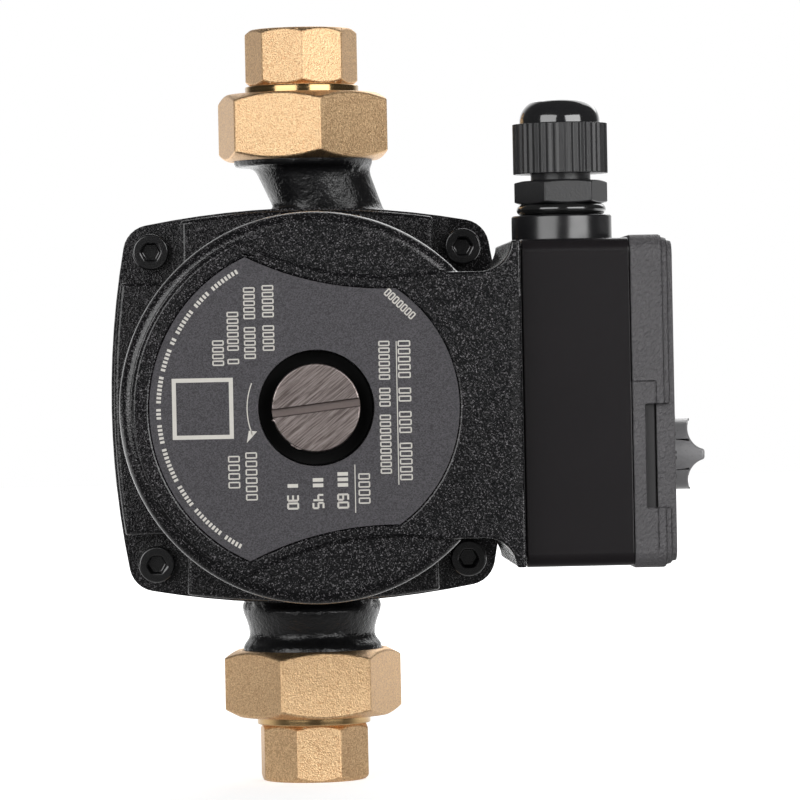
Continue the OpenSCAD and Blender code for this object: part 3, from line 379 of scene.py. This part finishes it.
cast_paint = Recipe("cast_paint")
sand_dimples = cast_paint.noise(1.5, detail=3, rough=0.6)
paint_run = cast_paint.noise(0.5, detail=2)
cast_paint.skin(roughness=sand_dimples * 0.1 + 0.13, specular_ior_level=0.5,
                base_color=cast_paint.blend(sand_dimples, rgb(0.004, 0.004, 0.0045),
                                            rgb(0.009, 0.009, 0.0095)))
cast_paint.bumps(sand_dimples + paint_run * 0.4, 0.3, 0.85)

sparkle_coat = Recipe("sparkle_coat")
facets = sparkle_coat.noise(0.45, detail=2, rough=0.6)
lumps = sparkle_coat.noise(1.4, detail=2)
# Pale flakes in the coat's colour: partly the coat's own flakes, partly painted glints.
flakes = sparkle_coat.grains(0.23)
flakes_and_painted_glints = flakes ** 10
rib_across = sparkle_coat.axis("X")
ribs = 0
for rib_place in RIB_PLACES:
    near, middle, far = ((rib_place + part * RIB_WIDTH) * MM for part in (-1, 0, 1))
    ribs = ribs + rib_across.between(near, middle) - rib_across.between(middle, far)
rib_height = sparkle_coat.axis("Z")
rib_window = (rib_height.above((AXIS_HEIGHT + RIB_LOW) * MM)
              * rib_height.below((AXIS_HEIGHT + RIB_HIGH) * MM)
              * sparkle_coat.axis("Y").below(-(FACE_FRONT - 0.4) * MM))
sparkle_coat.skin(roughness=facets * 0.08 + 0.07, specular_ior_level=0.6,
                  base_color=sparkle_coat.blend(flakes_and_painted_glints, rgb(0.0025, 0.0025, 0.003),
                                                rgb(0.13, 0.124, 0.13)))
sparkle_coat.bumps(facets + lumps * 0.5 + ribs * rib_window * RIB_RISE, 0.08, 1.0)
print("two black coats are ready")


# %% [markdown]
# Plastics, rubbers and the metals inside share one recipe: a colour that drifts a little, a
# roughness that follows a fine grain, and a grain that stands up by a few hundredths of a
# millimetre. Only the numbers tell glossy nylon from matt rubber.

# %% Plain finishes
def plain_finish(name, color, roughness, metallic=0.0, grain_mm=0.6, depth_mm=0.02, drift=0.25,
                 specular=0.5, stretch=(1, 1, 1), turn=(0, 0, 0), coat=0.0):
    """A finish with one colour, a fine grain and a slow drift of tone."""
    recipe = Recipe(name)
    grain = recipe.noise(grain_mm, detail=2, place=recipe.moved(turn=turn, stretch=stretch))
    slow = recipe.noise(14, detail=1)
    light = tuple(min(1, part * (1 + drift)) for part in color)
    dark = tuple(part * (1 - drift) for part in color)
    tone = grain * 0.5 + slow * 0.5
    recipe.skin(metallic=metallic, specular_ior_level=specular, coat_weight=coat,
                roughness=grain * 0.12 + (roughness - 0.06),
                base_color=recipe.blend(tone, rgb(*dark), rgb(*light)))
    recipe.bumps(grain, depth_mm)
    return recipe.material


gloss_box = plain_finish("gloss_box", (0.009, 0.0075, 0.0085), 0.24, grain_mm=0.5, depth_mm=0.008)
satin_cover = plain_finish("satin_cover", (0.075, 0.072, 0.076), 0.46, grain_mm=0.5, depth_mm=0.6,
                           turn=(0, radians(-32), 0), stretch=(1, 1, 0.5))
knob_plastic = plain_finish("knob_plastic", (0.2, 0.197, 0.203), 0.3, grain_mm=0.5,
                            depth_mm=0.03, specular=1.0)
gland_nylon = plain_finish("gland_nylon", (0.02, 0.02, 0.021), 0.34, grain_mm=0.5,
                           depth_mm=0.03)
gland_gloss = plain_finish("gland_gloss", (0.008, 0.008, 0.009), 0.12, grain_mm=4, depth_mm=0.01,
                           specular=1.0, coat=0.8)
boss_gloss = plain_finish("boss_gloss", (0.008, 0.008, 0.009), 0.24, grain_mm=4, depth_mm=0.01,
                          specular=1.0)
ring_rubber = plain_finish("ring_rubber", (0.008, 0.008, 0.008), 0.14, grain_mm=3, depth_mm=0.01,
                           specular=1.0, coat=0.5)
seal_rubber = plain_finish("seal_rubber", (0.015, 0.015, 0.016), 0.7, grain_mm=0.4)
black_screws = plain_finish("black_screws", (0.008, 0.008, 0.0085), 0.18, grain_mm=0.3,
                            depth_mm=0.006, specular=1.0)
gasket_fibre = plain_finish("gasket_fibre", (0.16, 0.05, 0.035), 0.85, grain_mm=0.35,
                            depth_mm=0.06)
stainless = plain_finish("stainless", (0.56, 0.56, 0.57), 0.28, metallic=1, stretch=(0.1, 1, 0.1))
zinc_steel = plain_finish("zinc_steel", (0.6, 0.6, 0.58), 0.3, metallic=1, grain_mm=1.5)
laminations = plain_finish("laminations", (0.3, 0.3, 0.32), 0.45, metallic=1, grain_mm=0.5,
                           depth_mm=0.1, stretch=(0.02, 1, 0.02))
copper_wire = plain_finish("copper_wire", (0.62, 0.25, 0.1), 0.3, metallic=0.9, grain_mm=0.5,
                           depth_mm=0.25, stretch=(1, 0.1, 1))
fibre_board = plain_finish("fibre_board", (0.4, 0.1, 0.06), 0.7)
ceramic = plain_finish("ceramic", (0.75, 0.72, 0.66), 0.22, grain_mm=2, depth_mm=0.005)
carbon = plain_finish("carbon", (0.03, 0.03, 0.033), 0.35)
impeller_plastic = plain_finish("impeller_plastic", (0.62, 0.57, 0.47), 0.45)
lead_sleeve = plain_finish("lead_sleeve", (0.4, 0.025, 0.02), 0.35)
capacitor_can = plain_finish("capacitor_can", (0.6, 0.6, 0.62), 0.32, metallic=1)
terminal_plastic = plain_finish("terminal_plastic", (0.72, 0.68, 0.56), 0.45)
earth_brass = plain_finish("earth_brass", (0.65, 0.48, 0.18), 0.3, metallic=1)
print("the plain finishes are ready")

# %% [markdown]
# The nameplate is a dark grey film with a fine print grain. Its marks are a warm pale grey. The
# vent plug is nickel on brass, and its face is scratched slantwise by wiping and by screwdrivers.

# %% Nameplate film, print and plug face
label_film = Recipe("label_film")
film_grain = label_film.grains(0.22)
label_film.skin(roughness=0.5, specular_ior_level=0.4,
                base_color=label_film.blend(film_grain, rgb(0.026, 0.0245, 0.028),
                                            rgb(0.072, 0.068, 0.076)))
label_film.bumps(film_grain, 0.02)

label_print = plain_finish("label_print", (0.52, 0.5, 0.46), 0.55, drift=0.12, grain_mm=0.4)

plug_nickel = Recipe("plug_nickel")
SCRATCH_TURN = radians(38)
scratches = plug_nickel.noise(0.5, detail=4, rough=0.8,
                              place=plug_nickel.moved(turn=(0, SCRATCH_TURN, 0),
                                                      stretch=(0.05, 1, 1.2),
                                                      centre=mm(0, 0, AXIS_HEIGHT)))
plug_nickel.skin(metallic=1.0, roughness=scratches * 0.25 + 0.22,
                 base_color=plug_nickel.blend(scratches.between(0.35, 0.65),
                                              rgb(0.16, 0.128, 0.12), rgb(0.47, 0.405, 0.385)))
plug_nickel.bumps(scratches, 0.04, 0.7)

# The boss deep in the well round the plug: near-black with little gloss, painted shade.
painted_well_shade = plain_finish("painted_well_shade", (0.003, 0.003, 0.003), 0.75, specular=0.15)
# The slot of the plug: a darker nickel, painted shade.
slot_shadow = plain_finish("slot_shadow", (0.2, 0.165, 0.155), 0.45, metallic=1.0)
print("the nameplate and the plug have their finishes")

# %% [markdown]
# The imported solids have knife-sharp edges. Real edges are rounded by the mould, by the blasting
# or by the paint, and each one draws a thin line of light. A copy of a solid is welded, its flat
# faces are joined again, and a bevel rounds whatever edge is left.


# %% From sharp solids to soft edges
WELD_DISTANCE = 2e-6
FLAT_ANGLE = radians(0.5)
EDGE_DEGREES = 32


def joined(form):
    """The form with shared corners and whole flat faces."""
    bmesh.ops.remove_doubles(form, verts=form.verts[:], dist=WELD_DISTANCE)
    bmesh.ops.dissolve_limit(form, angle_limit=FLAT_ANGLE, verts=form.verts[:],
                             edges=form.edges[:])
    return form


def welded_copy(node):
    """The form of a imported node, ready for work on its edges."""
    form = bmesh.new()
    form.from_mesh(frame["nodes"][node].data)
    return joined(form)


def finish_piece(name, form, body, materials, sharp=35):
    """Turns a form into a piece of the pump that rides on a body."""
    for edge in form.edges:
        if len(edge.link_faces) == 2:
            edge.smooth = edge.calc_face_angle(0) < radians(sharp)
    for face in form.faces:
        face.smooth = True
    piece = placed(name, mesh_of(name, form))
    for material in materials:
        piece.data.materials.append(material)
    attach(piece, body)
    return piece


def weigh_edges(form, width_mm):
    """Gives every sharp edge its share of the widest rounding, and says how wide that is."""
    weight = form.edges.layers.float.new("bevel_weight_edge")
    widths = {}
    for edge in form.edges:
        if len(edge.link_faces) == 2 and edge.calc_face_angle(0) > radians(EDGE_DEGREES):
            widths[edge] = width_mm
            if callable(width_mm):
                middle = (edge.verts[0].co + edge.verts[1].co) / 2 / MM
                widths[edge] = width_mm(middle.x, -middle.y, middle.z - AXIS_HEIGHT)
    widest = max(widths.values())
    for edge, here in widths.items():
        edge[weight] = here / widest
    return widest


def soften(piece, widest_mm, segments):
    """Rounds the weighted edges."""
    rounding = piece.modifiers.new("rounded_edges", "BEVEL")
    rounding.width = widest_mm * MM
    rounding.segments = segments
    rounding.limit_method = "WEIGHT"
    rounding.use_clamp_overlap = False
    rounding.miter_outer = "MITER_ARC"
    flattening = piece.modifiers.new("flat_faces_stay_flat", "WEIGHTED_NORMAL")
    flattening.keep_sharp = True
    return piece


def after_modifiers(holder):
    """The form that an object has once its modifiers have worked."""
    bpy.context.view_layer.update()
    evaluated = holder.evaluated_get(bpy.context.evaluated_depsgraph_get())
    form = bmesh.new()
    form.from_mesh(evaluated.to_mesh())
    return form


def carved(form, cutters):
    """The form with every cutter taken out of it. All of them are closed meshes."""
    solids = []
    for solid in [form] + cutters:
        bmesh.ops.recalc_face_normals(solid, faces=solid.faces[:])
        solids.append(placed("carving", mesh_of("carving", solid)))
    for cutter in solids[1:]:
        cut_out = solids[0].modifiers.new("cut_out", "BOOLEAN")
        cut_out.object = cutter
        cut_out.operation = "DIFFERENCE"
        cut_out.solver = "EXACT"
    result = after_modifiers(solids[0])
    for solid in solids:
        bpy.data.objects.remove(solid)
    return joined(result)


def add_prism(form, corners, low, high, axis):
    """Adds a closed block: an outline in mm, run along an axis between two places."""
    rings = []
    for along in (low, high):
        ring = []
        for corner in corners:
            spot = list(corner)
            spot.insert(axis, along)
            ring.append(form.verts.new(mm(*spot)))
        form.faces.new(ring)
        rings.append(ring)
    for i in range(len(corners)):
        j = (i + 1) % len(corners)
        form.faces.new((rings[0][i], rings[0][j], rings[1][j], rings[1][i]))
    return form


def rectangle(left, low, right, high):
    """The four corners of an upright outline."""
    return [(left, low), (right, low), (right, high), (left, high)]


body_of = {node: body for body, nodes in frame["record"]["behaviour"]["bodies"].items()
           for node in nodes}


def softened(node, name, materials, width_mm, segments=3, paint=None, cutters=()):
    """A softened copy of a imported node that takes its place."""
    form = welded_copy(node)
    if cutters:
        form = carved(form, list(cutters))
    if paint:
        paint(form)
    widest_mm = weigh_edges(form, width_mm)
    piece = finish_piece(name, form, body_of[node], materials, EDGE_DEGREES)
    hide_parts(node)
    return soften(piece, widest_mm, segments)


def dress(node, material):
    """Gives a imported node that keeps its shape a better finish."""
    for slot in frame["nodes"][node].material_slots:
        slot.material = material


print("edges can be softened")

# %% [markdown]
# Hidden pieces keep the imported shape: their solids are already right, and they only need the
# look of their metal, ceramic or plastic for whoever takes the pump apart.

# %% Dress the inner pieces
inner_finishes = {
    "neck_ring": stainless, "impeller": impeller_plastic, "impeller_retainer": stainless,
    "shaft": ceramic, "rotor_core": stainless, "thrust_bearing": carbon,
    "front_bearing": ceramic, "bearing_plate": stainless,
    "rear_bearing": ceramic, "housing_gasket": seal_rubber, "stator_core": laminations,
    "winding_insulators": fibre_board, "stator_windings": copper_wire,
    "vent_plug_seal": seal_rubber, "box_gasket": seal_rubber, "box_fixing_screws": zinc_steel,
    "lead_grommet": seal_rubber, "winding_leads": lead_sleeve, "capacitor": capacitor_can,
    "terminal_block": terminal_plastic, "terminal_screws": zinc_steel,
    "earth_screw": earth_brass, "cover_seal": seal_rubber, "cover_screws": black_screws,
    "speed_switch": terminal_plastic, "switch_spindle": zinc_steel,
    "gland_o_ring": ring_rubber, "gland_seal_insert": seal_rubber,
    "outlet_gasket": gasket_fibre, "inlet_gasket": gasket_fibre, "nameplate": label_film.material,
}
for node, material in inner_finishes.items():
    dress(node, material)
print(len(inner_finishes), "packed pieces are dressed")

# %% [markdown]
# The union nuts are forged hexagons with a chamfer that cuts their corners in arcs. The
# tailpieces have an octagon for the second spanner, a turned ring, and a pipe thread inside.


# %% The unions
RING_END = AXIS_HEIGHT - 13.4
RING_RADIUS = 13
THREAD_RADIUS = 9.6


def paint_tailpiece(form):
    """Marks the turned ring and the thread on a tailpiece."""
    for face in form.faces:
        middle = face.calc_center_median() / MM
        height = abs(middle.z - AXIS_HEIGHT)
        across = hypot(middle.x, middle.y)
        if height < RING_END and across > RING_RADIUS:
            face.material_index = 1
        if across < THREAD_RADIUS and abs(face.normal.z) < 0.5:
            face.material_index = 2


for end in ("outlet", "inlet"):
    softened(end + "_union_nut", end + "_nut_brass", [blasted_brass.material], 0.35)
    softened(end + "_tailpiece", end + "_tail_brass",
             [blasted_brass.material, turned_brass.material, threaded_brass.material], 0.3,
             paint=paint_tailpiece)
print("both unions are in brass")

# %% [markdown]
# A sand casting has no sharp corner anywhere: sand can't hold one. The housing is rebuilt as
# one skin of small even faces and then relaxed, so every corner melts into a fillet, the way
# paint and sand leave it.


# %% The pump housing
def cast_skin(node, name, materials, voxel_mm, rounds):
    """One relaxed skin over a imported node."""
    draft = placed(name + "_draft", mesh_of(name + "_draft", welded_copy(node)))
    remesh = draft.modifiers.new("even_faces", "REMESH")
    remesh.mode = "VOXEL"
    remesh.voxel_size = voxel_mm * MM
    form = after_modifiers(draft)
    bpy.data.objects.remove(draft)
    for _ in range(rounds):
        bmesh.ops.smooth_vert(form, verts=form.verts[:], factor=0.5, use_axis_x=True,
                              use_axis_y=True, use_axis_z=True)
    piece = finish_piece(name, form, body_of[node], materials, sharp=80)
    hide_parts(node)
    return piece


casting = cast_skin("pump_housing", "iron_casting", [cast_paint.material],
                    voxel_mm=0.95, rounds=4)
print("the casting has", len(casting.data.polygons), "faces")

# %% [markdown]
# The motor housing keeps its imported shape, and its edges are rounded. How far depends on the
# place: the band where the barrel leaves the flange is widest, and near the flange's pockets
# there is room for a tenth of a millimetre. The boss round the plug sits deep in its well, and the
# slot of the plug lies in shade, so both get a darker finish of their own, face by face: painted
# shade.

# %% The motor housing
BAND_FRONT = 30
BAND_RADIUS = 40
POCKET_FRONT = 20


def shell_rounding(x, forward, height):
    """How far each edge of the shell is rounded, in mm."""
    if abs(forward - BAND_FRONT) < 1 and hypot(x, height) > BAND_RADIUS:
        return 0.9
    if forward < POCKET_FRONT:
        return 0.12
    return 0.5


softened("motor_housing", "motor_shell", [sparkle_coat.material], shell_rounding)
softened("housing_screws", "cap_screws", [black_screws], 0.4)
BOSS_BACK = 84
PLUG_FRONT = 95
SLOT_HALF = 1.8
SLOT_REACH = 9.5


def paint_boss(form):
    """Marks the boss that fills the well round the plug, for a near-black finish of painted shade.
    """
    for face in form.faces:
        if -face.calc_center_median().y / MM > BOSS_BACK - 0.5:
            face.material_index = 1


def paint_slot(form):
    """Marks the slot's floor and sides behind the plug's front face, for a darker nickel of
    painted shade.
    """
    for face in form.faces:
        middle = face.calc_center_median() / MM
        level = middle.z - AXIS_HEIGHT
        behind_front = -middle.y < PLUG_FRONT - 0.1
        if behind_front and abs(level) < SLOT_HALF and hypot(middle.x, level) < SLOT_REACH:
            face.material_index = 1


softened("rotor_can", "can_and_boss", [stainless, painted_well_shade], 0.1, segments=2, paint=paint_boss)
softened("vent_plug", "slotted_plug", [plug_nickel.material, slot_shadow], 0.12, paint=paint_slot)
print("the motor housing is coated")

# %% [markdown]
# The terminal box is two mouldings: a glossy tray, with a polished boss for the cable gland, and a
# satin cover, with a step and a thumb scoop in its front edge. Closed blocks cut the step and the
# scoop out of a copy of the cover, and the scoop's walls get a darker satin: painted shade for the
# hollow. The knob and the gland are separate nylon mouldings.

# %% The terminal box
BOX_TOP = 36.3
KNOB_HEIGHT = -12.1
KNOB_FORWARD = 76
PANEL_FACE = 79.4
COVER_FRONT = 92.6
SCOOP_HALF = 11.5
SCOOP_LEFT = 71.7
SCOOP_RIGHT = 75.2
SCOOP_DEPTH = 2.9
STEP_LEFT = 60
STEP_LOW = 40
STEP_TOP = 4.45
STEP_DEPTH = 0.2
SKIRT_RIGHT = 76.5
KNOB_CLEARANCE = 10
DOME_START = 62.9
OUTSIDE = -COVER_FRONT - 1


def paint_boss_and_tray(form):
    """Marks the polished boss that carries the cable gland."""
    for face in form.faces:
        if face.calc_center_median().z / MM - AXIS_HEIGHT > BOX_TOP + 0.3:
            face.material_index = 1


def paint_scoop_shade(form):
    """Marks the walls of the thumb scoop for a darker satin: painted shade where the walls lie in
    shadow.
    """
    for face in form.faces:
        middle = face.calc_center_median() / MM
        level = abs(middle.z - AXIS_HEIGHT - KNOB_HEIGHT)
        in_scoop = SCOOP_LEFT - 0.1 < middle.x < SCOOP_RIGHT + 0.1 and level < SCOOP_HALF + 0.1
        if in_scoop and -COVER_FRONT + 0.5 < middle.y < -COVER_FRONT + SCOOP_DEPTH + 0.2:
            face.material_index = 1


def paint_dome(form):
    """Marks the polished dome above the ribs of the gland's nut."""
    for face in form.faces:
        if face.calc_center_median().z / MM - AXIS_HEIGHT > DOME_START:
            face.material_index = 1


def lid_rounding(x, forward, height):
    """The outer corner of the skirt and the panel are rounded most."""
    from_knob = hypot(forward - KNOB_FORWARD, height - KNOB_HEIGHT)
    if x > SKIRT_RIGHT and from_knob > KNOB_CLEARANCE:
        return 0.5
    return 0.25


scoop_steps = 8
scoop_outline = [(SCOOP_LEFT, OUTSIDE)]
for i in range(scoop_steps + 1):
    turn = pi / 2 * i / scoop_steps
    scoop_outline.append((SCOOP_LEFT + (SCOOP_RIGHT - SCOOP_LEFT) * sin(turn),
                          -COVER_FRONT + SCOOP_DEPTH * (1 - cos(turn))))
scoop_outline.append((SCOOP_RIGHT, OUTSIDE))
knob_level = AXIS_HEIGHT + KNOB_HEIGHT
scoop = add_prism(bmesh.new(), scoop_outline, knob_level - SCOOP_HALF,
                  knob_level + SCOOP_HALF, 2)
step_outline = rectangle(STEP_LEFT, OUTSIDE, SCOOP_RIGHT, -COVER_FRONT + STEP_DEPTH)
step = add_prism(bmesh.new(), step_outline, STEP_LOW, AXIS_HEIGHT + STEP_TOP, 2)

# A darker satin on the scoop's walls: painted shade for the hollow.
painted_shade_satin = plain_finish("painted_shade_satin", (0.022, 0.021, 0.022), 0.6, grain_mm=0.8)
softened("terminal_box_base", "box_tray", [gloss_box, boss_gloss], 0.4,
         paint=paint_boss_and_tray)
softened("terminal_box_cover", "box_lid", [satin_cover, painted_shade_satin], lid_rounding,
         paint=paint_scoop_shade, cutters=[scoop, step])
softened("speed_knob", "speed_pointer", [knob_plastic], 0.45)
softened("gland_body", "gland_hexagon", [gland_nylon], 0.25)
softened("gland_dome_nut", "gland_cap", [gland_nylon, gland_gloss], 0.15, segments=2,
         paint=paint_dome)
print("the terminal box is closed")

# %% [markdown]
# Raised bars stand round the knob, on the side toward the camera: one, two and three of them
# for the three speeds, with a dot for each step between.

# %% Speed marks on the cover
MARK_RADIUS = 12.4
MARK_RISE = 0.4
MARK_SINK = 0.1
MARK_HALF = 0.3
MARK_STEP = 22
MARK_GAP = 5.5
BAR_LENGTH = 2.4
DOT_LENGTH = 0.8

marks = bmesh.new()
for step_number, count in ((-2, 1), (-1, 1), (0, 2), (1, 1), (2, 3)):
    length = BAR_LENGTH if step_number % 2 == 0 else DOT_LENGTH
    for i in range(count):
        angle = radians(MARK_STEP * step_number + MARK_GAP * (i - (count - 1) / 2))
        corners = []
        for out, side in rectangle(MARK_RADIUS - length / 2, -MARK_HALF,
                                   MARK_RADIUS + length / 2, MARK_HALF):
            corners.append((-KNOB_FORWARD - out * cos(angle) + side * sin(angle),
                            knob_level + out * sin(angle) + side * cos(angle)))
        add_prism(marks, corners, PANEL_FACE - MARK_SINK, PANEL_FACE + MARK_RISE, 0)
bmesh.ops.recalc_face_normals(marks, faces=marks.faces[:])
finish_piece("speed_marks", marks, body_of["terminal_box_cover"],
             [satin_cover])
print("the cover has its speed marks")

# %% [markdown]
# The nameplate's print is a set of thin films. The maker's words stay out: rows of small open
# blocks stand for lines of text, an empty frame for the square code, and only the three speeds
# keep numbers. The print is read with the head turned to the right, so its lines run downward.

# %% The nameplate's print
PRINT_BACK = 96.88
PRINT_FRONT = 96.94
LETTER_FILL = 0.6
LETTER_STROKE = 0.3
DIGIT_HEIGHT = 2.2
DIGIT_WIDTH = 1.15
DIGIT_PITCH = 1.75
DIGIT_STROKE = 0.42


class Print:
    """Flat shapes on the nameplate, in mm to the right of the axis and above it."""

    def __init__(self):
        self.form = bmesh.new()

    def shape(self, corners):
        """A film with this outline."""
        add_prism(self.form, [(x, AXIS_HEIGHT + z) for x, z in corners],
                  -PRINT_BACK, -PRINT_FRONT, 1)

    def box(self, left, low, right, high):
        self.shape(rectangle(left, low, right, high))

    def line(self, start, end, width):
        """A straight stroke between two points."""
        along = Vector(end) - Vector(start)
        side = Vector((-along.y, along.x)).normalized() * width / 2
        self.shape([Vector(start) - side, Vector(end) - side, Vector(end) + side,
                    Vector(start) + side])

    def words(self, start, end, height, lengths):
        """Rows of small open blocks that stand for words."""
        start = Vector(start)
        letters = sum(lengths) + len(lengths) - 1
        pitch = (Vector(end) - start) / letters
        side = Vector((-pitch.y, pitch.x)).normalized() * height / 2
        place = 0
        for length in lengths:
            for _ in range(length):
                first = start + pitch * place
                last = first + pitch * LETTER_FILL
                self.line(first - side, first + side, LETTER_STROKE)
                self.line(last - side, last + side, LETTER_STROKE)
                self.line(first - side, last - side, LETTER_STROKE)
                self.line(first + side, last + side, LETTER_STROKE)
                place += 1
            place += 1

    def bent_words(self, radius, first_degrees, last_degrees, height, lengths):
        """Words along a circle round the axis."""
        letters = sum(lengths) + len(lengths) - 1
        place = 0
        for length in lengths:
            for _ in range(length):
                ends = []
                for part in (0, LETTER_FILL):
                    angle = radians(first_degrees
                                    + (last_degrees - first_degrees) * (place + part) / letters)
                    ends.append((radius * cos(angle), radius * sin(angle)))
                self.line(ends[0], ends[1], height)
                place += 1
            place += 1

    def digit(self, strokes, left, top):
        """A plain figure from straight strokes. It lies on its side, like every line here."""
        for (a, b), (c, d) in strokes:
            self.line((left + b * DIGIT_HEIGHT, top - a * DIGIT_WIDTH),
                      (left + d * DIGIT_HEIGHT, top - c * DIGIT_WIDTH), DIGIT_STROKE)


label = Print()
# Each line: its place to the right, its top, its low end, its height and its words' lengths.
TEXT_LINES = (
    (-10.2, 27.0, 12.3, 2.3, (5, 4)), (-14.3, 26.6, 10.6, 2.3, (5, 5)),
    (-18.0, 21.3, 9.5, 2.3, (6, 1)), (-21.3, 15.1, 9.2, 2.3, (4,)),
    (19.5, 14.3, -16.8, 2.5, (5, 2, 3, 5)), (15.1, 14.3, -15.2, 2.2, (6, 3, 9)),
    (-14.5, -9.6, -20.6, 2.3, (6,)), (-18.3, -10.3, -17.9, 2.3, (4,)),
    (10.2, -14.7, -21.8, 2.3, (4,)),
)
for x, top, low, height, lengths in TEXT_LINES:
    label.words((x, top), (x, low), height, lengths)
label.words((15.9, 25.3), (22.0, 19.3), 1.5, (7,))
label.line((17.8, 14.3), (17.8, -17.2), 0.2)
label.line((8.2, -12.6), (8.2, -23.2), 0.2)
label.bent_words(34.6, 119, 241, 1.0, (8, 5, 7, 2, 6, 7, 3, 5, 9, 6, 9, 5))
FRAME_LEFT, FRAME_HIGH, FRAME_SIDE, FRAME_LINE = -31.6, 7.0, 13.4, 0.9
frame_low, frame_right = FRAME_HIGH - FRAME_SIDE, FRAME_LEFT + FRAME_SIDE
label.box(FRAME_LEFT, FRAME_HIGH - FRAME_LINE, frame_right, FRAME_HIGH)
label.box(FRAME_LEFT, frame_low, frame_right, frame_low + FRAME_LINE)
for left in (FRAME_LEFT, frame_right - FRAME_LINE):
    label.box(left, frame_low + FRAME_LINE, left + FRAME_LINE, FRAME_HIGH - FRAME_LINE)

STROKES = {
    "top": ((0, 1), (1, 1)), "middle": ((0, 0.5), (1, 0.5)), "bottom": ((0, 0), (1, 0)),
    "upper left": ((0, 0.5), (0, 1)), "upper right": ((1, 0.5), (1, 1)),
    "lower left": ((0, 0), (0, 0.5)), "lower right": ((1, 0), (1, 0.5)),
}
FIGURES = {
    "0": ("top", "bottom", "upper left", "upper right", "lower left", "lower right"),
    "3": ("top", "middle", "bottom", "upper right", "lower right"),
    "4": ("middle", "upper left", "upper right", "lower right"),
    "5": ("top", "middle", "bottom", "upper left", "lower right"),
    "6": ("top", "middle", "bottom", "upper left", "lower left", "lower right"),
}
SPEED_ROWS = ((3, 5.5, "60"), (2, 0.05, "45"), (1, -5.5, "30"))
BARS_LOW = -17.4
BAR_HALF = 1.15
BAR_WIDTH = 0.8
BAR_PITCH = 1.2
FIGURES_TOP = BARS_LOW - 1.7
for count, x, number in SPEED_ROWS:
    for i in range(count):
        low = BARS_LOW + i * BAR_PITCH
        label.box(x - BAR_HALF, low, x + BAR_HALF, low + BAR_WIDTH)
    for i, figure in enumerate(number):
        label.digit([STROKES[stroke] for stroke in FIGURES[figure]], x - DIGIT_HEIGHT / 2,
                    FIGURES_TOP - i * DIGIT_PITCH)

ARROW_RADIUS = 15.2
ARROW_START = 158
ARROW_SWEEP = 44
ARROW_PARTS = 16
ARROW_LINE = 0.22
arrow_turns = [radians(ARROW_START + ARROW_SWEEP * i / ARROW_PARTS)
               for i in range(ARROW_PARTS + 1)]
for first, last in zip(arrow_turns, arrow_turns[1:]):
    label.line((ARROW_RADIUS * cos(first), ARROW_RADIUS * sin(first)),
               (ARROW_RADIUS * cos(last), ARROW_RADIUS * sin(last)), ARROW_LINE)
label.shape([(-14.9, -4.7), (-15.4, -7.4), (-13.1, -4.9)])
bmesh.ops.recalc_face_normals(label.form, faces=label.form.faces[:])
finish_piece("nameplate_print", label.form, body_of["nameplate"],
             [label_print])
print("the nameplate is printed")
